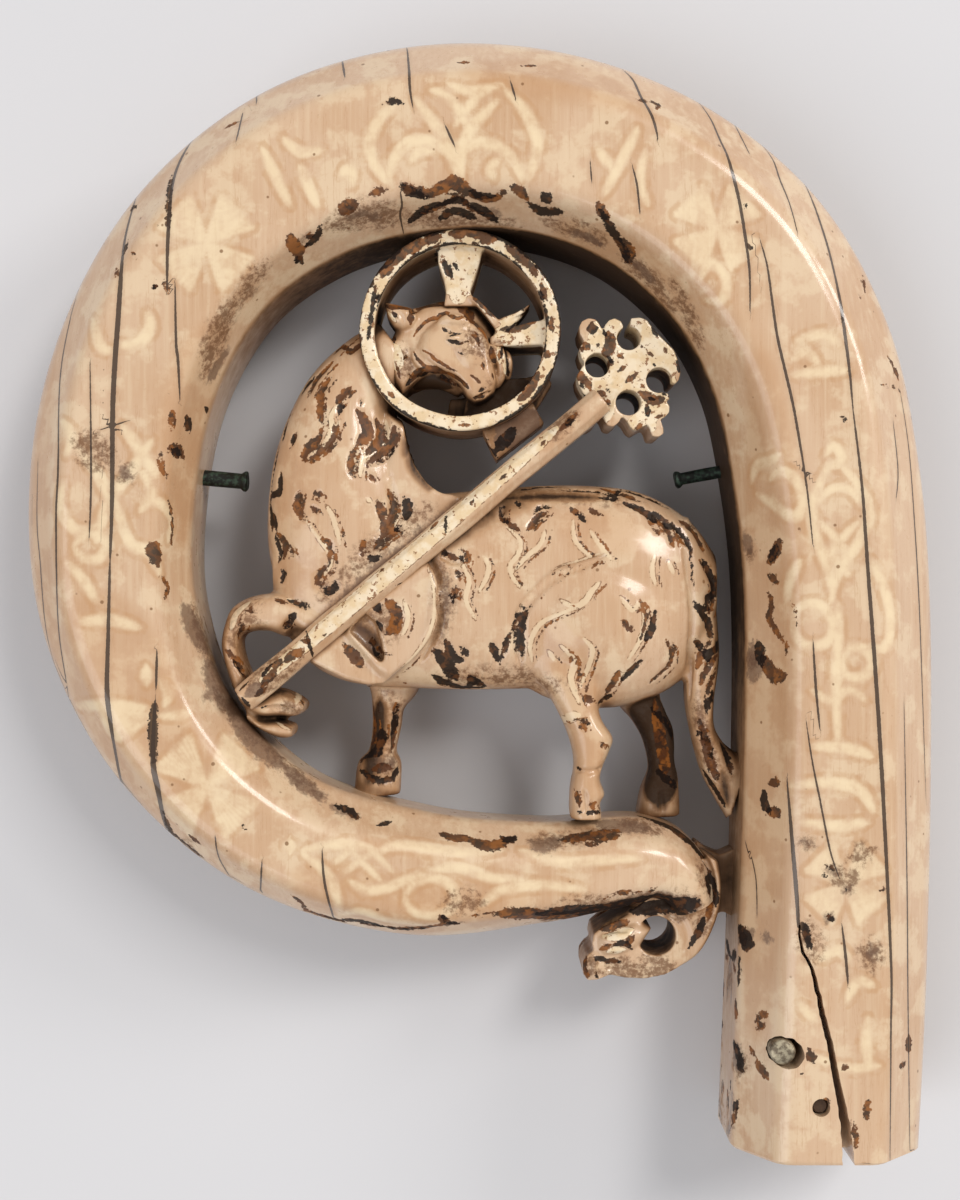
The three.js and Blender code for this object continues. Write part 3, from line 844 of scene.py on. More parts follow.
HAIRLINES = """
2.6 623,70 633,80 641,97 650,112 655,125 658,140
2.6 696,99 710,118 720,140 727,155 733,175 740,205 745,235 749,265 750,285 750,312
1.6 732,120 740,135 750,155
2.0 762,145 773,160 780,180 790,205 798,235
2.4 760,240 767,265 772,300 777,335 785,370 792,400 798,432 807,489 813,546
3.0 803,180 812,200 820,222 830,255 840,300 845,335 850,375 853,410
3.2 853,410 862,486 868,571 876,680 883,794 891,960 891,1032 890,1160
1.8 632,165 637,185 640,215
2.0 900,390 909,450 915,530 919,600 922,680 926,800
1.8 893,420 898,470 896,500
1.8 806,720 812,760 820,800 830,850 840,880
2.2 813,640 816,690 820,730
3.4 787,780 792,840 797,900 799,940
2.4 842,925 846,960 848,985
2.2 910,1160 908,1000 907,880 904,700
2.0 400,190 402,205 400,215 404,235
3.4 204,129 187,148 173,182 168,236 167,290
2.4 175,282 176,342 178,360 180,400
4.0 136,197 124,245 118,320 113,400 112,500 110,560
4.0 110,560 108,640 107,690 110,720 115,750 122,785 130,805
2.2 157,650 156,690
5.0 155,700 153,760 158,790 163,815 170,835 182,852
3.0 182,852 203,858
2.4 81,282 70,320 60,380 58,470 56,520 58,620 66,680 76,737
2.0 38,460 37,520 40,560 48,640 73,717
1.8 90,360 91,480 89,540
1.8 215,835 220,860 240,890
2.2 322,850 325,885 337,930
1.8 262,860 260,900
2.2 407,47 409,70 410,90 413,108
2.0 342,60 345,78
2.0 445,125 455,147
1.8 510,80 516,100
1.6 750,850 756,880 757,918
1.4 745,840 750,860
1.4 800,470 812,474
1.4 100,430 130,420
1.4 590,160 592,185
1.6 258,92 256,105
1.8 243,112 236,142
"""
# The dirt and stain strokes along the arm's underside, from 445,905 to 700,905, are painted shade there, like
# the brown and black strokes beside them.
painted(crook, crook_skin, 1.3, cream=RIBBONS, dirt=DIRT, stain=STAIN, tan=TAN)
painted(crook, crook_skin, 0.8, brown=BROWN, black=BLACK)
cracked(crook, crook_skin, HAIRLINES)

# The ivory itself.
# Old elephant ivory, polished by hands: pinkish cream with a fine lengthwise grain. What lies
# deep has gone brown, and is painted darker still as shade; remains of paint and gilding keep to
# the strokes that held them.
ivory = new_material("polished old ivory")
spot = place_in_mm()
fine = noise_of(spot, 1.7, 4.0, 0.65)
coarse = noise_of(spot, 0.55, 3.0)
patches = noise_of(spot, 0.20, 4.0, 0.6)


def value_of(name):
    return Field.node("ShaderNodeAttribute", attribute_name=name, out=2)


def band_of(value, middle, half, fade):
    return 1 - abs(value - middle).step(half, half + fade)


streak = noise_of(spot.scaled((1.5, 0.07, 0.9)), 1.0, 4.0, 0.6)
clouds = noise_of(spot.scaled((1.0, 0.55, 1.0)), 0.085, 3.0)
tone = clouds.step(0.38, 0.64).tint(shade(201, 168, 137), shade(192, 155, 121))
tone = (patches.step(0.48, 0.60) * 0.55).tint(shade(219, 195, 162), tone)
tone = (streak.step(0.46, 0.72) * 0.35).tint(shade(216, 191, 158), tone)
tone = (band_of(streak, 0.40, 0.004, 0.014) * 0.30).tint(shade(168, 124, 86), tone)
tone = (fine.step(0.56, 0.75) * 0.28).tint(shade(182, 142, 104), tone)
tan = patches.step(0.4, 0.6).tint(shade(194, 154, 116), shade(180, 136, 98))
tone = (value_of("tan").step(0.20, 1.0) * 0.50).tint(tan, tone)
# The ghosts of the gilding: broad, faint and without an edge, with a tan halo.
ribbon = value_of("cream") + (fine - 0.5) * 0.16
halo_of_tan = band_of(ribbon, 0.36, 0.06, 0.14) * coarse.step(0.34, 0.62)
tone = (halo_of_tan * 0.42).tint(shade(180, 134, 90), tone)
tone = (ribbon.step(0.36, 0.70) * (coarse.step(0.30, 0.60) * 0.35 + 0.30)).tint(shade(232, 210, 172), tone)
# Small brown specks, and the speckled grime that polish never reached; where its strokes lie in shade, that
# grime is painted shade as well.
speck = Field.node("ShaderNodeTexVoronoi", {"Vector": spot, "Scale": 0.30})
tone = ((1 - (speck + coarse * 0.12).step(0.10, 0.14)) * 0.8).tint(shade(120, 84, 50), tone)
grime_and_shade = (noise_of(spot, 1.4, 5.0, 0.75) + coarse * 0.4 + value_of("dirt") * 0.22).step(0.74, 1.0)
grime_and_shade = grime_and_shade * value_of("dirt").step(0.12, 0.60)
tone = (grime_and_shade * 0.82).tint(shade(104, 70, 46), tone)
# Painted shade together with brown patina: the more closed off a point, the more it goes from tan through
# brown to near black.
patina_and_shade = value_of("patina_and_shade") * (coarse * 0.6 + streak * 0.5 + 0.45)
tone = (patina_and_shade.step(0.10, 0.36) * 0.55).tint(shade(172, 128, 88), tone)
tone = (patina_and_shade.step(0.26, 0.56) * 0.80).tint(shade(118, 84, 56), tone)
tone = (patina_and_shade.step(0.50, 0.86) * 0.92).tint(shade(48, 34, 23), tone)
# Grey-brown smears of stain, which on the lamb, the strut and the arm's underside also paint the shade beside
# the staff and in recesses.
smear_and_shade = (value_of("stain") + (streak - 0.5) * 0.5 + (fine - 0.5) * 0.9).step(0.36, 0.72)
tone = (smear_and_shade * 0.72).tint(shade(98, 74, 60), tone)
# White that still holds keeps a dotted brown line round it.
white = value_of("white") + (fine - 0.5) * 0.40
chalk = coarse.step(0.4, 0.6).tint(shade(238, 222, 192), shade(224, 198, 156))
tone = (white.step(0.44, 0.56) * 0.72).tint(chalk, tone)
dots = noise_of(spot, 1.3, 2.0)
tone = (band_of(white, 0.47, 0.03, 0.05) * dots.step(0.46, 0.54) * 0.85).tint(shade(104, 66, 36), tone)
# The drawn locks of the fleece are fainter, and their line is dotted too.
lock = value_of("lock") + (fine - 0.5) * 0.30
tone = (lock.step(0.42, 0.62) * 0.46).tint(shade(232, 212, 176), tone)
tone = (band_of(lock, 0.46, 0.03, 0.05) * dots.step(0.47, 0.55) * 0.75).tint(shade(112, 74, 42), tone)
flecks = noise_of(spot, 1.5, 3.0, 0.6).step(0.59, 0.64) * value_of("white").step(0.45, 0.55)
tone = (flecks * 0.85).tint(shade(122, 74, 36), tone)


def held(name):
    """Where a layer of paint still holds, with an edge that wanders and chips out."""
    return (value_of(name) + (fine - 0.5) * 0.85 + (coarse - 0.5) * 0.35).step(0.44, 0.52)


paint = held("brown")
amber = coarse.step(0.44, 0.62).tint(shade(130, 78, 34), shade(80, 46, 22))
amber = (noise_of(spot, 0.9, 3.0).step(0.50, 0.60) * 0.85).tint(shade(46, 32, 23), amber)
tone = (paint * 0.94).tint(amber, tone)
soot = held("black")
tar = noise_of(spot, 0.8, 3.0).step(0.52, 0.64).tint(shade(80, 48, 24), shade(30, 19, 12))
tone = (soot * 0.96).tint(tar, tone)
line = value_of("gap") - abs(value_of("split")) + (fine - 0.5) * 0.16
near = value_of("gap").step(0.02, 0.08)
cleft = line.step(0.0, 0.05) * near
tone = (line.step(-0.5, 0.05) * near * 0.22).tint(shade(150, 116, 84), tone)
tone = (cleft * 0.92).tint(shade(62, 48, 38), tone)
worn = (1 - paint) * (1 - soot) * (1 - patina_and_shade.step(0.2, 0.6)) * (1 - grime_and_shade)
sheen = (coarse * 0.16 + patina_and_shade.step(0.2, 0.7) * 0.30 + 0.22) + (paint + soot + grime_and_shade) * 0.25
relief = fine * 0.5 + streak * 0.4 + paint * 0.7 + soot * 0.7 - cleft * 2.5
finish(tone, sheen, Field.node("ShaderNodeBump", {"Height": relief, "Strength": 0.30, "Distance": 0.00010}),
       coat=worn * 0.50)
polish = ivory.node_tree.nodes["Principled BSDF"].inputs
polish["Coat Roughness"].default_value = 0.14
polish["Specular IOR Level"].default_value = 0.25


def dress(thing, material):
    thing.data.materials.clear()
    thing.data.materials.append(material)
    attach(thing, "root")


dress(crook, ivory)
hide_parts("ivory_head")

# The serpent's head.
# The arm's end turns down and back on itself as a small head biting to the left, pierced by
# one round hole. A bridge of ivory left by the carver ties its back to the shaft.


def drawn(points, high):
    """Points of the picture carried to a level, in millimetres above the middle of the depth."""
    scale = FOCAL / (EYE_HEIGHT - MID - high)
    return [(EYE_X + (px - PICTURE_WIDE / 2) / scale, EYE_Y + (PICTURE_HIGH / 2 - py) / scale)
            for px, py in points]


def places(text):
    return [tuple(map(float, word.split(","))) for word in text.split()]


def ball(x, y, z, rx, ry, rz, sides=32):
    turns = np.linspace(0, math.pi, 20)[1:-1]
    angle = circle(sides)
    rings = np.stack([
        np.stack([x + rx * math.sin(t) * np.cos(angle), y + ry * math.sin(t) * np.sin(angle),
                  np.full(sides, z - rz * math.cos(t))], axis=1) for t in turns
    ])
    return loft("ball", rings)


def domed(text, back, front, crown, pull=0.9):
    """A cushion over an outline in picture points: walls, then a crown that draws in."""
    outline = np.array(drawn(places(text), front - crown / 2))
    middle = outline.mean(0)
    rings = [(1.0, MID + back), (1.0, MID + (back + front - crown) / 2), (1.0, MID + front - crown)]
    rings += [(1 - pull * (1 - math.cos(t)), MID + front - crown + crown * math.sin(t))
              for t in np.linspace(0, math.pi / 2, 8)[1:]]
    return loft("cushion", np.stack([
        np.column_stack([middle + (outline - middle) * s, np.full(len(outline), z)]) for s, z in rings
    ]))


def squared(angle, squareness):
    """The cosine and the sine of angles, swelled towards a square above 2."""
    return [np.sign(v) * np.abs(v) ** (2 / squareness) for v in (np.cos(angle), np.sin(angle))]


def limb(left, right, high, thick, steps, sides=32):
    """A rounded limb between two edges given in picture points, at a height over the middle."""
    a, b = (evenly(drawn(places(text), 4), steps) for text in (left, right))
    middle, reach = (a + b) / 2, (b - a) / 2
    out, up = squared(circle(sides), 2.5)
    level = MID + np.linspace(*high, steps + 1)[:, None]
    deep = np.linspace(*thick, steps + 1)[:, None] / 2
    return loft("limb", np.stack([
        middle[:, :1] + reach[:, :1] * out, middle[:, 1:] + reach[:, 1:] * out, level + deep * up,
    ], axis=-1))


def tube(text, high, thick, steps=40, sides=20):
    """A round cord of even thickness through picture points, each with its height."""
    rows = evenly([(*drawn([(px, py)], z)[0], MID + z) for px, py, z in places(text)], steps)
    away = across(rows)
    angle = circle(sides)
    swell = (np.sin(np.linspace(0.12, math.pi - 0.12, steps + 1)) ** 0.4)[:, None] * thick / 2
    return loft("tube", np.stack([
        rows[:, :1] + away[:, :1] * swell * np.cos(angle), rows[:, 1:2] + away[:, 1:] * swell * np.cos(angle),
        rows[:, 2:] + high * swell * np.sin(angle),
    ], axis=-1))


def fused(name, parts, grain, smoothing=4):
    """Parts that overlap, run into one skin of small even faces and eased where they meet."""
    whole = piece(name, *together(parts))
    for part in parts:
        bpy.data.objects.remove(part)
    skin = whole.modifiers.new("skin", "REMESH")
    skin.mode = "VOXEL"
    skin.voxel_size = grain * MM
    ease = whole.modifiers.new("ease", "SMOOTH")
    ease.factor = 0.5
    ease.iterations = smoothing
    settle(whole)
    whole.data.shade_smooth()
    return whole


def carved(thing, skin, text, depth):
    """Cuts rounded grooves along strokes, front and back alike, or raises them by less than none."""
    points = points_of(thing)
    folded = to_front(points)
    sunk = np.zeros(len(points))
    for trail, half in laid(skin, text):
        for who, far, _, wide in along(folded, to_front(trail), half, half.max() * 2):
            dip = np.clip(1 - far / np.maximum(wide * 1.7, 0.05), 0, 1)
            sunk[who] = np.maximum(sunk[who], dip * dip * (3 - 2 * dip) * np.minimum(wide / 0.35, 1))
    points -= points_of(thing, "normal") * (sunk * depth)[:, None]
    thing.data.vertices.foreach_set("co", (points * MM).ravel())
    thing.data.update()


CURL_Z = (MID - 6.5, MID + 4.6)
curl = slab("curl", drawn(places("""
    604,926 640,905 700,858 712,862 718,880 719,905 714,925 703,945 690,958 678,968 665,975 645,979
    625,978 610,975 598,980 588,981 583,974 583,962 588,955 594,951 592,944 594,934
"""), 4.6), *CURL_Z)
hollow_out(curl, turned("hole", [(2.5, 0), (2.5, DEPTH)], (22.6, -43.6, 0), 48))
hollow_out(curl, slab("bite", drawn(places("592,957 592,961 606,962 620,961 606,959"), 4.6), MID - 2, DEPTH))
serpent = fused("serpent_head", [
    curl,
    domed("600,931 616,925 640,920 652,930 640,948 622,956 602,957 595,950 594,938", -6, 5.8, 2.6, 0.8),
    domed("598,966 616,963 646,962 668,962 680,962 664,974 645,978 625,977 606,974", -6, 4.8, 2.2, 0.8),
    domed("586,955 594,952 600,958 600,972 596,981 587,981 583,973 583,961", -5.5, 5.4, 2.4, 0.8),
    limb("703,852 712,880 706,915 690,945 664,964", "719,862 722,890 717,922 700,955 672,974",
         (1.0, -0.4), (9.4, 9.4), 40),
], 0.21, 4)
serpent_skin = tree_of(serpent)
carved(serpent, serpent_skin, """
4 604,934 616,930 628,932
6 602,926 640,908 690,900
3 600,944 612,948 628,948
3 588,958 590,970 589,978
4 606,968 630,970 655,968
5 646,916 668,914 682,922 688,938 684,952
""", 0.35)
# The widest black stroke and the dirt beside it along the top of the head, from 630,910 to 706,890, paint the
# shade of the arm's lower bevel and the gap above the head.
painted(serpent, serpent_skin, 0.6, white="""
10 604,936 618,934 632,930
8 608,952 624,950
""", brown="""
6 600,930 612,926 630,922
4 600,950 612,944
6 586,956 584,966 588,978
6 626,944 634,936
5 712,900 708,920
""", black="""
4 592,957 604,960 620,962
4 612,945 624,943 632,950
12 630,910 666,906 702,896
5 704,918 698,934 688,948
3 596,972 598,980
6 704,866 714,886 716,906
""", dirt="""
24 600,974 640,976 674,966
18 590,956 586,976
20 640,962 664,960
24 680,912 668,906 650,908
30 640,905 680,903 706,890
22 610,970 650,972
20 700,935 714,905
""")
bridge = fused("serpent_bridge", [slab("bar", [
    (28.2, -32.0), (30.0, -33.4), (31.6, -34.0), (33.4, -33.2), (35.2, -31.4),
    (35.2, -44.6), (33.6, -42.4), (31.8, -41.4), (30.2, -42.2), (28.6, -43.8),
], MID - 6, MID - 0.8)], 0.3, 6)
for part in (serpent, bridge):
    dress(part, ivory)
    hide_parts("ivory_head")

# The lamb.
# It stands in the loop, carved all round from the same ivory: a deep rounded body, a thick neck
# turned back, one foreleg raised to hold the staff, and three feet on the crook.
BODY = [
    (-26.6, 5.0, 5.0, 3.4), (-23.5, 3.4, 10.6, 6.2), (-17.5, 1.0, 12.2, 7.3), (-7.0, 0.4, 12.6, 7.5),
    (3.5, 0.8, 13.1, 7.3), (13.0, 1.2, 13.0, 7.3), (21.0, 0.6, 12.6, 7.2), (27.2, 0.2, 9.4, 6.0),
    (30.6, 0.9, 4.2, 3.4),
]
NECK = [
    (-17.0, -1.0, MID, 17.0, 13.5), (-18.0, 7.0, MID, 18.8, 15.0), (-18.3, 14.5, MID, 17.6, 14.8),
    (-17.9, 20.0, MID, 15.4, 13.6), (-16.6, 25.0, MID, 12.6, 12.0), (-13.6, 29.0, MID, 10.6, 10.6),
    (-10.4, 31.4, MID, 9.4, 9.6),
]
body_rows = between(BODY, 60)
angle = circle(44)
out, up = squared(angle, 2.5)
bx, by, high, thick = (column[:, None] for column in body_rows.T)
trunk = loft("trunk", np.stack([bx + 0 * angle, by + high * out, MID + thick * up], axis=-1))
neck_rows = evenly(NECK, 50)
away = across(neck_rows)
nx, ny, nz, wide, thick = (column[:, None] for column in neck_rows.T)
out, up = squared(angle, 2.3)
neck = loft("neck", np.stack([
    nx + away[:, :1] * wide / 2 * out, ny + away[:, 1:] * wide / 2 * out, nz + thick / 2 * up,
], axis=-1))
# The shoulder is a lobe with a raised rim. The forearm leaves it as a flat strip, and between
# them lies a pocket.
shoulder = domed("""
    425,560 431,572 435,592 434,612 430,630 420,647 404,666 388,680 376,672 360,652 344,634
    352,616 372,598 398,578
""", 1, 8.8, 1.3, 0.16)
hollow_out(shoulder, slab("pocket", drawn(places("""
    349,631 366,613 376,622 382,644 386,668 368,650
"""), 8), MID + 7.3, DEPTH))
strip = slab("strip", drawn(places("300,648 345,630 366,649 389,674 384,683 368,685 345,679 311,662"), 7.8),
             MID + 2, MID + 7.9)
rim = tube("424,561,8.0 431,576,8.3 434,594,8.4 433,612,8.4 429,629,8.4 419,646,8.2 404,664,8.0", 1.0, 1.5)
nape = domed("""
    386,410 402,420 406,445 414,465 427,484 442,495 468,500 470,530 400,530 384,470
""", -5.5, 5.5, 2.4, 0.25)
haunch = ball(15.6, -2.4, MID, 15.0, 12.4, 8.1, 48)
LAMB_LEGS = [
    # the raised foreleg, and its cloven hoof on the staff
    limb("378,650 340,622 310,605 290,597 275,593 250,597 232,608 225,625 222,645 226,665 234,690",
         "372,690 330,655 300,630 288,637 270,631 250,632 243,638 243,650 247,664 254,680",
         (3.4, 2.6), (8.2, 9.0), 90),
    limb("234,676 256,694 278,688 298,695 307,703", "244,706 262,716 280,716 296,716 305,711",
         (2.6, 2.6), (9.0, 9.0), 40),
    limb("246,706 262,720 280,720 295,725", "250,722 264,731 280,738 293,737", (2.2, 2.2), (8.6, 8.6), 40),
    # the far foreleg
    limb("352,660 366,690 369,710 369,735 365,755 354,768 350,800",
         "428,660 416,694 402,712 399,730 394,755 399,768 398,800", (-3.6, -3.6), (8.0, 6.6), 60),
    # the near hindleg
    limb("516,640 530,675 545,690 558,712 568,735 573,755 573,770 570,785 569,806 570,818",
         "614,640 602,690 599,708 603,722 613,738 609,752 602,768 600,780 605,794 600,802 602,818",
         (2.4, 3.8), (8.0, 6.4), 80),
    # the far hindleg
    limb("596,650 617,700 635,722 646,740 652,760 653,775 645,795 640,822",
         "690,650 666,690 670,712 678,730 680,748 680,765 684,785 686,822", (-3.4, -3.6), (8.0, 6.4), 70),
    # the tail, which hangs to the shaft
    limb("664,540 684,556 690,600 691,630 688,665 688,700 694,735 705,775 718,800 732,824",
         "690,515 708,555 718,600 722,640 722,665 717,700 717,725 725,742 736,752 748,760",
         (0.4, -0.6), (8.6, 7.6), 100),
]
lamb = fused("lamb", [trunk, neck, nape, haunch, shoulder, rim, strip, *LAMB_LEGS], 0.31, 5)
lamb_skin = tree_of(lamb)
FLEECE_BROWN = """
5 362,330 348,340 334,354
6 330,378 322,390 320,410 324,426
5 332,362 316,380 308,396
6 350,388 343,395 336,403
5 333,425 335,436 322,451 305,461
7 302,461 308,448 318,438
5 322,428 316,444 308,452
9 358,410 366,425 366,436 358,444
5 357,446 352,456 351,470 355,478
8 376,420 381,431 379,442 366,454
8 394,426 393,440 385,451 367,464
5 370,474 375,481
7 300,492 297,506 303,520
3 313,499 314,493 320,492 319,498 313,500
4 310,505 318,514
4 322,540 330,545 330,564
5 328,566 320,574 318,584 326,590
6 388,490 394,505 391,517 384,528
5 376,505 382,516 383,530 376,546
5 395,516 388,531 377,541
7 378,500 382,515
4 403,524 390,537 373,549
5 364,541 362,551 366,557
7 277,534 285,546 282,558
5 290,545 293,556
6 275,598 286,603
4 246,610 254,612
5 243,624 239,640
6 226,650 238,662 245,674
5 284,630 292,616
9 346,646 354,656 362,665
4 342,642 350,650
9 386,600 396,612 395,626 386,634
5 376,648 386,654
7 444,553 452,558 458,562
4 461,548 468,562
4 456,568 460,580
6 456,586 453,600
5 505,506 503,516 511,525 518,530
5 548,512 538,516 532,526
5 540,518 532,524 528,530
5 570,508 580,515
5 588,508 600,515
7 600,560 580,567 562,572 546,583 532,598
3 572,655 570,662
3 578,672 582,688
8 586,696 592,702
5 622,620 632,632
3 640,600 646,618 640,640
4 645,512 658,534
5 655,516 668,530 673,546
4 676,530 686,546
5 600,488 622,494 640,501
6 680,520 694,532 704,552
5 700,560 712,580 714,600 708,616
6 712,640 702,654 697,668
6 718,655 708,668 700,684
5 716,672 705,700
4 666,640 672,652 668,666 648,684
5 620,670 612,685 606,694
4 602,558 580,565 562,572 546,584 534,597
7 372,700 374,730 368,750
7 396,704 396,730 392,752
8 372,770 390,766
6 580,722 586,730
5 600,742 606,748
5 574,790 580,806
4 590,800 596,812
8 655,700 660,740 666,780
8 700,720 706,750 716,780
"""
FLEECE_BLACK = """
5 343,402 338,414
6 300,396 306,386 314,378
5 292,410 286,425 282,442
4 279,446 272,480 270,508
4 397,444 386,457 371,465
3 362,398 360,406
8 404,498 408,507 405,519
4 402,526 394,532
5 366,556 374,559 380,556
6 322,586 328,591 335,588 334,580
5 275,536 280,552 278,562
5 281,569 284,574 280,584
5 288,600 300,604 310,608
6 285,630 290,622 295,612
4 230,655 240,668 246,678
7 375,602 380,612
6 375,622 382,630
6 372,638 374,646
5 374,650 380,658
6 441,550 448,558
4 459,550 464,562
5 453,590 453,602
5 504,504 502,516 510,524
4 552,508 541,506 534,514
4 520,490 540,487 560,487
3 560,490 600,492 618,498
10 534,594 523,611 519,628 519,642 521,662
5 516,500 520,508
6 624,503 642,510 656,522
5 660,516 672,530
4 600,484 640,495 668,508
7 703,560 714,582 719,610
6 716,640 722,660
6 712,690 718,715
3 690,545 693,590 692,640 690,672
7 432,648 444,664 450,680
5 460,646 468,656
7 440,684 462,688 488,688
6 490,642 500,664
5 510,634 502,658
4 578,720 590,724
3 262,708 276,707 286,706
3 290,708 294,710
9 434,650 448,664 456,680
7 446,640 452,656 464,662
8 432,676 452,686 474,690
6 468,676 486,688
5 668,520 684,536 692,552
6 690,600 702,610 712,606
6 694,640 704,650 712,668
7 700,610 708,622 712,640
6 650,512 664,520
5 576,512 586,522
5 622,680 634,668 644,660
6 646,640 652,628 656,612
5 598,704 612,694
8 702,770 714,790 724,806
6 720,740 728,758 732,774
6 268,470 270,500
5 296,432 290,448
6 272,512 276,530
8 364,708 366,740 360,764
6 396,712 393,744
6 360,770 376,780 396,778
7 652,708 668,724 676,748
6 656,770 668,780 682,790
6 398,705 396,735
5 370,715 370,745
7 398,768 394,780
4 572,768 582,770
3 576,812 600,812
6 705,735 712,760
6 270,505 272,530
"""
FLEECE_CREAM = """
4 345,398 332,414 331,430 318,454
4 340,420 330,440 316,456
4 306,520 320,540 329,552 330,566 320,578
4 326,505 334,520 340,545
4 366,498 372,502
4 370,450 362,462 360,478
5 386,420 388,440 376,456
5 392,500 396,518 386,534
4 404,600 408,618 402,636
4 460,560 469,580 466,600 476,620
4 483,555 489,570 479,592
4 505,525 520,540 518,555 510,566 513,578 521,588
4 545,530 540,545 525,558 515,570
4 573,520 575,540 590,555 602,560
4 590,530 600,545 612,560
5 560,600 575,607 586,600 591,592 600,582
4 578,607 546,620 535,631 530,646 532,662
5 560,645 574,660 571,680 580,704
4 583,638 592,648 590,662 579,690
4 655,555 652,570 656,586
4 640,600 645,620 640,640 628,660
4 548,650 556,662
4 620,596 632,610 640,600
4 668,560 674,575
8 560,720 580,715
6 250,602 236,614 231,630
4 286,598 300,606
6 300,690 296,704
4 276,722 290,730
3 428,566 434,590 434,615 428,636 414,656 396,672
3 604,552 580,561 560,568 544,580 530,596
"""
carved(lamb, lamb_skin, FLEECE_BROWN, 0.22)
carved(lamb, lamb_skin, FLEECE_BLACK, 0.24)
carved(lamb, lamb_skin, """
8 604,556 580,566 562,572 546,583 531,598 520,616 517,640 520,664
6 428,556 437,575 439,600 437,625 430,645 420,662
5 440,553 450,560 462,564
6 684,550 690,585 693,620 690,660 689,700
5 262,710 282,709 296,714
4 575,770 590,772 604,768
4 584,790 586,814
4 660,790 664,815
""", 0.55)
carved(lamb, lamb_skin, FLEECE_CREAM, -0.07)
# A fine line runs beside every lock.
BESIDE = ""
for words in filter(None, map(str.split, (FLEECE_BROWN + FLEECE_CREAM).splitlines())):
    passed = [word.split(",") for word in words[1:]]
    BESIDE += "1.3 " + " ".join(f"{float(px) + 6:g},{float(py) + 2:g}" for px, py in passed) + "\n"
painted(lamb, lamb_skin, 0.55, brown=FLEECE_BROWN + BESIDE, black=FLEECE_BLACK, lock=FLEECE_CREAM)
# Painted shade: the deep strokes darken the far legs, the tail beside the shaft, the band along the back, the
# nape's edge and the pocket; the dirt and stain strokes over the same far legs, the pocket, the back and
# along the staff's edge add painted shade to their grime.
painted(lamb, lamb_skin, 1.8, dirt="""
50 385,700 385,770
44 660,700 668,790
26 700,700 720,790
24 352,618 384,620 372,650
16 320,600 360,560 400,530 430,505
20 500,494 560,492 620,500
20 300,690 285,725
16 440,560 442,600 438,640
30 250,600 240,640 250,680
20 440,690 500,690 560,686
""", stain="""
14 356,624 366,640 378,656
8 448,510 412,540 372,572 330,606
6 440,560 446,600 440,640
10 372,756 384,764 398,760
""", tan="""
40 540,620 570,660 590,720 590,800
60 290,440 290,540 310,590
40 230,610 230,650 270,705
40 560,520 640,540
50 700,650 716,740
""", deep="""
18 380,700 376,730 368,784
44 644,700 658,740 660,804
8 722,770 728,806
10 496,486 540,484 600,486
8 404,430 414,462 432,488
9 356,626 372,636 380,656
""")

# The lamb's head.
# It looks back over the body: a cap of wool with a scalloped edge, a long wedge of a face with
# two drawn eyes, an ear on the left, and on the right locks that hang beside the cheek.
lamb_head = fused("lamb_head", [
    domed("""
        394,332 398,316 410,308 424,304 440,300 455,298 469,299 481,311 491,325 498,338 506,348 510,362
        507,378 499,386 488,376 470,374 448,374 430,374 416,382 404,392 394,388 389,372 388,352 391,338
    """, -5, 5.0, 2.6, 0.55),
    domed("""
        416,346 422,332 434,321 448,314 462,315 476,321 486,332 491,348 494,366 497,382 494,392
        485,399 475,402 468,397 460,384 448,374 434,369 421,360
    """, -3, 6.5, 2.0, 0.34),
    tube("454,324,5.4 464,342,5.8 473,362,5.6 480,382,5.0 484,393,4.4", 0.55, 4.4),
    tube("438,325,5.8 447,320,6.2 458,320,6.3 469,324,6.1", 0.7, 1.5),
    tube("444,337,5.9 452,339,6.3 461,338,6.3", 0.8, 1.7),
    tube("470,334,6.2 475,340,6.2 478,346,5.8", 0.8, 1.5),
    domed("384,302 392,303 403,305 414,308 420,318 414,328 404,331 394,327 387,317", -2, 5.8, 1.8, 0.75),
    tube("414,350,5.0 419,360,5.2 428,367,5.4 436,370,5.2 444,373,4.6", 0.8, 1.7),
    domed("390,338 402,334 412,340 416,354 414,372 410,386 402,394 394,388 389,370 387,352",
          -4, 5.0, 1.8, 0.7),
    tube("492,344,4.6 494,354,5.0 497,364,4.4", 1.0, 1.3),
    tube("499,344,4.2 501,358,4.8 501,376,4.2 496,388,3.6", 1.0, 1.3),
    tube("505,350,3.4 508,362,3.8 508,380,3.0", 1.0, 1.2),
    tube("472,398,4.2 480,395,4.8 490,391,4.4", 0.8, 1.5),
    tube("404,392,-1 420,380,0.5 438,378,1.0 452,384,1.0 462,394,0.5", 1.6, 3.0),
    slab("beard", drawn(places("""
        466,402 478,400 492,394 498,384 510,379 526,378 544,374 552,384 536,410 508,424 478,428 462,424
    """), 0), MID - 5, MID + 0.6),
], 0.17, 3)
head_skin = tree_of(lamb_head)
FACE_BROWN = """
3.4 414,336 420,327 430,319 437,318 441,314 447,313 453,317 459,318 464,316
2.6 466,320 474,321 479,328
3.5 470,334 477,338 479,346
2 474,332 480,336
2.4 422,350 430,354 436,360 443,364 450,369 458,371
3 414,352 418,360 425,366 434,370 446,373
2.4 470,375 476,379 481,384
4 478,396 490,393
5 491,346 492,356 495,363
3 482,362 484,370
8 386,306 400,306 412,309
9 412,309 428,305 440,303 455,301 470,301 480,310 490,322 496,334
7 411,312 411,324
5 424,369 434,372
3 404,358 408,357
3 492,372 494,380
3 500,350 499,360
4 388,348 392,362
3 396,364 400,378
4 456,382 462,390
7 410,380 418,373 430,370 444,373 456,378 468,388
"""
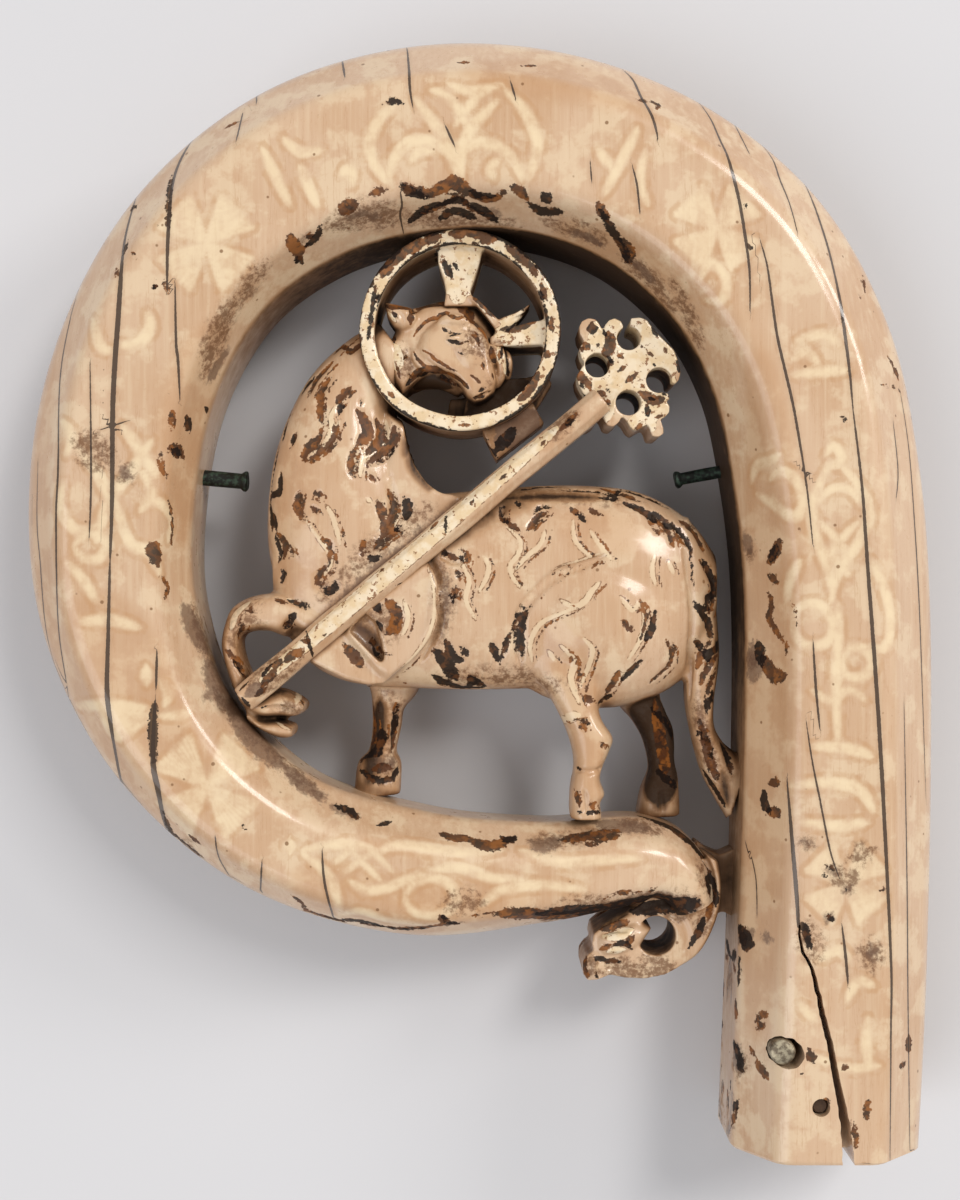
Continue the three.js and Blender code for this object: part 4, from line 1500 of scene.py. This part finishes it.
FACE_BLACK = """
3 441,327 447,331 454,333
3.2 447,340 453,342 461,343 470,340
2.4 450,336 456,334 462,333
1.4 458,352 464,355
1.8 444,329 449,332
2.6 467,337 473,341
4 473,398 482,397 491,391
4 478,392 486,388
5 406,386 413,379 424,375 436,375 446,379 456,385
4 392,312 398,319
3 391,336 396,340
3 389,346 390,354
3 404,359 407,356
2.4 502,346 501,358
3 506,352 508,378
2 409,374 411,378
4 414,308 420,307
2 420,308 432,305
3 432,372 446,378 456,384
"""
carved(lamb_head, head_skin, FACE_BROWN, 0.16)
carved(lamb_head, head_skin, FACE_BLACK, 0.26)
carved(lamb_head, head_skin, """
5 410,312 430,305 455,302 470,303 484,314 494,330
3 396,310 402,317 404,324
3 466,322 468,334 474,346
""", 0.3)
# Painted light on the head: the first three white strokes are highlights on the locks beside the right cheek,
# and the arcs under the jaw in the brown and black lists are its shade.
painted(lamb_head, head_skin, 0.3, brown=FACE_BROWN, black=FACE_BLACK, white="""
4 498,346 500,364
4 504,354 506,376
6 494,334 497,342
4 388,312 396,322
12 392,344 398,370
""")
# Painted shade: the deep strokes darken the throat and the beard behind the muzzle, and the widest dirt
# stroke lies over the same beard.
painted(lamb_head, head_skin, 1.5, dirt="""
18 398,345 402,380
10 490,380 495,392
60 480,408 530,395
30 470,330 490,350
""", tan="""
60 440,330 470,350 486,390
""", deep="""
40 470,414 500,402 536,392
20 414,390 430,384 452,388
""")
for part in (lamb, lamb_head):
    dress(part, ivory)
    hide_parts("ivory_head")

# The halo.
# A deep round band behind the head, carved free, with arms of a cross that widen towards it.
# Its front edge keeps white, brown and gilt over the ivory.
HALO_X, HALO_Y, HALO_OUT, HALO_IN, HALO_HALF = -2.4, 33.5, 12.8, 10.9, 6.4


def band(name, profile, place, sides=160):
    """A closed profile of radius and height pairs carried round a circle cut a little unevenly."""
    angle = circle(sides)
    r, h = np.array(profile, float).T
    count = len(r)
    uneven = np.array([1 + 0.012 * noise.noise((math.cos(a) * 2.2, math.sin(a) * 2.2, 5)) for a in angle])
    points = np.stack([
        np.outer(np.cos(angle) * uneven, r), np.outer(np.sin(angle) * uneven, r), np.tile(h, (sides, 1))
    ], axis=-1).reshape(-1, 3) + np.array(place)
    i = np.arange(sides)[:, None] * count
    n = ((np.arange(sides) + 1) % sides)[:, None] * count
    j = np.arange(count)[None, :]
    k = (j + 1) % count
    quads = np.stack([i + j, n + j, n + k, i + k], axis=-1).reshape(-1, 4)
    return outward(piece(name, points, quads.tolist()))


ring = band("ring", [
    (HALO_IN, -HALO_HALF), (HALO_OUT, -HALO_HALF), (HALO_OUT, HALO_HALF), (HALO_IN, HALO_HALF),
], (HALO_X, HALO_Y, MID))
top_arm = slab("arm", drawn(places("""
    438,236 480,236 482,252 479,264 474,280 470,291 476,306 444,306 446,292 444,280 438,262
"""), 5.0), MID - 5, MID + 5.0)
right_arm = slab("arm", drawn(places("""
    490,337 501,331 512,327 530,322 552,318 552,344 535,345 502,346 490,348
"""), 5.0), MID - 5, MID + 5.0)
low_arm = slab("arm", drawn(places("450,400 484,396 492,424 446,424"), -2), MID - 5, MID - 1.5)
shoulder_edge = domed("468,296 476,297 500,321 496,330 487,318", -4, 5.6, 0.8, 0.4)
right_ear = domed("494,334 500,318 512,314 522,309 531,303 526,311 517,322 506,330", -1, 5.2, 1.2, 0.5)
halo = fused("halo", [ring, top_arm, right_arm, low_arm, shoulder_edge, right_ear], 0.23, 2)
halo_skin = tree_of(halo)
carved(halo, halo_skin, """
4 440,260 446,268 450,279
3 510,322 524,314 532,306
""", 0.4)
# The middle of the halo in the picture.
SEEN_X, SEEN_Y = 460.3, 330


def arc(width, far, start, end, steps=24):
    """A stroke that runs round the halo, between two angles in degrees."""
    turns = [math.radians(start + (end - start) * k / steps) for k in range(steps + 1)]
    passed = [f"{SEEN_X + far * math.cos(a):.0f},{SEEN_Y - far * math.sin(a):.0f}" for a in turns]
    return f"{width} " + " ".join(passed) + "\n"


RING = arc(17, 94, 0, 360, 48)
HALO_EDGE = (arc(4.5, 101, -150, 75) + arc(3.4, 101, 100, 215)
             + arc(3.2, 86, 40, 170) + arc(2.6, 86, -80, 20))
painted(halo, halo_skin, 0.55, white=RING + """
40 458,240 460,262 458,296
30 500,333 552,331
11 379,290 374,320 372,350 378,378 392,398 414,413 440,422 470,422 498,416 522,404
9 542,372 551,350 554,325 550,300 543,282
10 450,262 456,280 456,292
8 470,250 474,262 468,280
8 510,337 530,333
8 380,282 384,276
7 452,236 470,234 490,238 506,248
6 408,252 420,244
5 500,322 514,318 526,309
6 478,300 490,313
""", brown="""
8 388,268 396,258 406,250 418,242
9 424,240 440,236
9 450,233 466,234
10 382,276 390,262
9 400,254 414,246 424,241
9 462,231 480,234 496,239
7 506,246 520,256 530,268
6 478,240 490,242
8 512,250 522,258
5 470,232 490,236
6 530,262 536,276
5 541,284 546,300
4 551,318 552,332
6 548,352 546,358
7 538,372 528,392 518,400
4 380,330 378,336
3 388,392 394,398
3 458,424 470,425
3 378,296 376,302
4 500,330 520,325 536,322
4 505,332 530,326
3 470,243 480,244
3 383,366 380,352
4 474,292 484,300 496,316
""", black="""
7 484,229 500,233 516,241 530,254 540,266
""" + HALO_EDGE + """
7 383,268 392,256 402,247
6 420,236 436,231 450,229
3 452,226 470,226 484,228
5 442,260 447,268 451,279
3 506,332 520,320 534,306
4 538,290 544,302
3 378,292 378,306
3 452,262 458,270
3 544,306 548,322
3 440,240 436,262
3 376,284 372,310 368,340
""", dirt="""
16 438,240 480,240
12 476,262 474,290
16 540,325 540,342
14 500,340 500,346
""")
dress(halo, ivory)
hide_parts("ivory_head")

# The staff and its cross.
# The lamb's staff crosses in front of it, a bar with bevelled arrises. It ends in a thick cross
# whose arms are cut as lobes round four drilled holes, with a small strut behind.
FROM, TO = np.array((-29.7, -13.2)), np.array((15.4, 24.5))
STAFF_BACK, STAFF_FRONT = MID + 5.4, MID + 9.8
run = (TO - FROM) / np.linalg.norm(TO - FROM)
aside = np.array((run[1], -run[0]))
bar = []
for t in np.linspace(0, 1, 140):
    x, y = FROM + (TO - FROM) * t
    half = 1.72 + 0.12 * noise.noise((t * 9, 0, 0))
    sway = 0.12 * noise.noise((t * 6, 4, 0))
    bar.append([(x + aside[0] * (u + sway), y + aside[1] * (u + sway), z) for u, z in (
        (-half, STAFF_BACK), (half, STAFF_BACK), (half, STAFF_FRONT - 1.5), (half - 0.1, STAFF_FRONT - 1.1),
        (half - 0.9, STAFF_FRONT - 0.1), (0, STAFF_FRONT), (0.9 - half, STAFF_FRONT - 0.1),
        (0.1 - half, STAFF_FRONT - 1.1), (-half, STAFF_FRONT - 1.5))])
staff = fused("staff", [loft("bar", np.array(bar))], 0.2, 1)
staff_skin = tree_of(staff)
painted(staff, staff_skin, 0.5, white="""
14 262,680 300,648 340,614 400,562 470,502 530,450 556,428
""", brown="""
7 284,662 292,655 300,651
5 296,656 304,652
6 262,686 270,676 276,669
6 272,668 282,660
5 256,696 266,688
3 300,640 312,643
3 322,636 326,634
5 560,430 568,423 576,414
3 430,530 438,522
3 380,572 384,568
3 500,480 506,474
3 540,446 546,440
""", black="""
2.4 306,629 309,642 313,657
2 445,507 446,520 445,534
3 240,690 248,682
2 396,585 404,583 412,583
3 242,698 250,708
2 470,505 474,500
6 566,424 574,420
4 262,676 272,664
""", stain="""
10 246,696 262,684
6 340,600 400,548 460,498
""", tan="""
24 240,700 300,650 340,612
14 540,450 580,412
""", dirt="""
24 250,690 300,650
16 545,438 578,412
""")
CROSS_BACK, CROSS_FRONT = MID - 3.0, MID + 7.5
plate = slab("plate", drawn(places("""
    584,341 580,334 579,327 582,321 588,318 596,319 600,325 603,331 605,325 609,320 615,318 621,321
    624,327 630,327 631,318 640,317 647,320 652,327 659,335 667,343 674,350 678,360 681,371 679,380
    675,384 670,381 667,386 664,392 668,393 670,399 666,401 670,406 669,413 664,418 660,418 663,426
    664,433 659,437 652,436 650,429 648,424 642,427 636,431 631,428 627,421 622,416 619,422 613,427
    607,425 604,418 602,414 599,416 597,422 592,426 584,429 572,434 566,414 580,402 585,396 582,391
    578,383 577,375 581,369 585,363 581,357 579,349
"""), 7.5), CROSS_BACK, CROSS_FRONT)
for px, py, r in ((629, 338, 1.5), (597.5, 365, 1.55), (659, 380, 1.6), (628.5, 402.5, 1.6)):
    (hx, hy), = drawn([(px, py)], 7.5)
    hollow_out(plate, turned("hole", [(r, 0), (r, DEPTH)], (hx, hy, 0), 40))
cross = fused("staff_cross", [plate], 0.19, 3)
cross_skin = tree_of(cross)
carved(cross, cross_skin, """
3 603,332 609,346 618,352
3 627,330 624,345 620,352
3 668,392 656,396 644,392
3 602,412 612,402 618,392
3 582,358 590,352 600,350
""", 0.3)
painted(cross, cross_skin, 0.5, white="""
44 598,330 620,345 650,340 668,368
40 590,350 596,390 598,410
44 610,370 640,380 664,410
30 640,410 650,426
""", brown="""
9 608,332 610,345 604,356
6 583,343 590,350
7 576,372 588,384
8 640,392 654,400 664,398
6 612,360 604,374
5 598,392 606,396
3 596,344 599,347
3 616,355 624,358
4 626,382 638,372
3 641,384 645,388
5 586,378 590,390
5 590,400 588,410
4 600,405 612,402
3 654,418 665,415
3 664,348 668,354
4 634,430 642,424
3 618,372 626,366
3 646,350 652,356
""", black="""
10 592,324 593,333
4 652,328 657,335
3 677,360 679,372
5 647,405 648,416
4 603,330 606,338
3 660,392 668,396
3 580,380 584,390
3 580,346 583,352
4 648,398 654,400
2 640,344 644,348
2 606,388 610,392
2 652,362 655,366
4 600,415 606,408
4 583,394 588,402
4 606,356 612,362
""", dirt="""
12 600,330 612,345
14 585,395 600,410
12 650,402 664,396
""")
strut = fused("strut", [slab("block", [(0.2, 21.4), (2.2, 17.2), (8.4, 22.0), (6.6, 25.2), (2.6, 23.6)],
                             MID - 3, MID + 3)], 0.25, 5)
strut_skin = tree_of(strut)
# The strut lies behind the staff, and is darkened all over as painted shade by its black, dirt and stain
# strokes and its tan.
painted(strut, strut_skin, 0.5, black="""
10 497,450 505,440 514,430
3 484,440 497,457
""", dirt="""
40 490,445 530,420
""", stain="""
30 500,440 535,415
""", tan="""
60 480,450 540,410
""")
for part in (staff, cross, strut):
    dress(part, ivory)
    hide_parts("ivory_head")

# The hollows, with their patina and painted shade.
# Hands have kept clean what stands out. What lies deep is brown with age and lies in shade, so each
# point of the carving darkens with how much of the room above it other ivory closes off: patina
# and painted shade together.
carving = [crook, serpent, bridge, lamb, lamb_head, halo, staff, cross, strut]
all_round = tree_of(*carving)
RAYS = 26
turn = np.arange(RAYS) + 0.5
lift = np.arccos(1 - 2 * turn / RAYS)
spin = math.pi * (1 + 5**0.5) * turn
rays = np.column_stack([np.cos(spin) * np.sin(lift), np.sin(spin) * np.sin(lift), np.cos(lift)])
REACH = 13.0
for part in carving:
    points, normals = points_of(part), points_of(part, "normal")
    shut = np.zeros(len(points))
    asked = np.ones(len(points), bool)
    if part is crook:
        loop = points[:, :2] - (-1.0, 8.0)
        asked = (normals[:, :2] * loop).sum(1) / np.linalg.norm(loop, axis=1) < -0.25
    facing = normals @ rays.T
    for i in np.flatnonzero(asked):
        start = Vector(points[i] + normals[i] * 0.25)
        met = total = 0.0
        for j in np.flatnonzero(facing[i] > 0.2):
            weight = facing[i, j]
            total += weight
            far = all_round.ray_cast(start, Vector(rays[j]), REACH)[3]
            if far is not None:
                met += weight * (1 - far / REACH) ** 0.5
        shut[i] = met / max(total, 1e-6)
    ends = np.zeros((len(part.data.edges), 2), int)
    part.data.edges.foreach_get("vertices", ends.ravel())
    count = np.bincount(ends.ravel(), minlength=len(points)) + 1.0
    for _ in range(4):
        near = np.bincount(ends[:, 0], shut[ends[:, 1]], len(points))
        near += np.bincount(ends[:, 1], shut[ends[:, 0]], len(points))
        shut = (shut + near) / count
    # Steep sides, the more so the lower they lie, were never rubbed, and are given painted shade as well.
    steep = np.clip(1.25 - 1.6 * normals[:, 2], 0, 1) * np.clip(1 - (points[:, 2] - MID - 1) / 9, 0.25, 1)
    if part is crook:
        # They are darkest on the right and along the top, where no light falls on them.
        aim = np.clip((loop @ (0.6, 0.6)) / np.linalg.norm(loop, axis=1) + 0.5, 0, 1)
        upright = np.clip((0.42 - np.abs(normals[:, 2])) / 0.2, 0, 1)
        shut = np.where(asked, np.maximum(shut * (0.4 + 0.4 * aim), (0.10 + 0.8 * aim) * upright), 0)
    else:
        shut = np.maximum(shut, 0.46 * steep)
    # Deep strokes are painted shade, laid where the carving lies in shade.
    if "deep" in part.data.attributes:
        deep = np.zeros(len(points))
        part.data.attributes["deep"].data.foreach_get("value", deep)
        shut = np.maximum(shut, 0.95 * np.clip((deep - 0.30) / 0.45, 0, 1))
    store(part, "patina_and_shade", shut)

# Pins, rivet and peg.
# Two dark copper-alloy pins stand in the loop, their heads burred by the hammer. A worn metal
# rivet and a small wooden peg sit in the end of the shaft.
bronze = new_material("green-black bronze")
spot = place_in_mm()
patina = noise_of(spot, 1.6, 4.0).step(0.45, 0.62)
finish(patina.tint(shade(62, 78, 66), shade(36, 38, 34)), 0.55, metallic=0.5)
# The dents of the hammer are drawn at random, from this seed.
noise.seed_set(5)
for name, (px, py, pz, lean, r, burr) in (
    ("left_pin", (-30.1, 14.7, MID, 175, 1.03, 1.35)),
    ("right_pin", (25.8, 15.1, MID - 3, 10.5, 0.82, 1.15)),
):
    shank = turned(name + "_metal", [
        (burr * 0.5, 0), (burr * 0.86, 0.02), (burr, 0.16), (burr, 0.42), (burr * 0.9, 0.62), (r, 0.85),
        (r, 4), (r, 10.3), (r * 0.8, 10.4),
    ], (px, py, pz), 40, lean)
    for v in shank.data.vertices:
        v.co += Vector(noise.noise_vector(v.co / MM * 0.9)) * 0.13 * MM
    dress(shank, bronze)
    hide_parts(name)
    smooth(shank, 50)
steel = new_material("worn grey rivet")
spot = place_in_mm()
wear = noise_of(spot, 1.3, 5.0, 0.7)
finish(wear.step(0.42, 0.6).tint(shade(112, 100, 84), shade(170, 158, 134)), 0.42, metallic=0.7,
       normal=Field.node("ShaderNodeBump", {"Height": wear, "Strength": 0.6, "Distance": 0.0002}))
PLUG_FOOT = 20.9
rivet = turned("rivet_head", [(1.6, PLUG_FOOT), (1.6, 27.2), (1.5, 27.45), (1.25, 27.58), (0.6, 27.62)],
               (RIVET_X, RIVET_Y, 0), 40)
dress(rivet, steel)
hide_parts("shaft_rivet")
smooth(rivet, 50)
wood = new_material("dark brown peg")
finish(noise_of(place_in_mm(), 3.0, 4.0).tint(shade(92, 70, 52), shade(58, 42, 32)), 0.8)
peg = turned("peg_end", [(0.95, PLUG_FOOT), (0.95, 26.8), (0.8, 27.0), (0.3, 26.9)], (PEG_X, PEG_Y, 0), 32)
dress(peg, wood)
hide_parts("small_peg")
smooth(peg, 50)
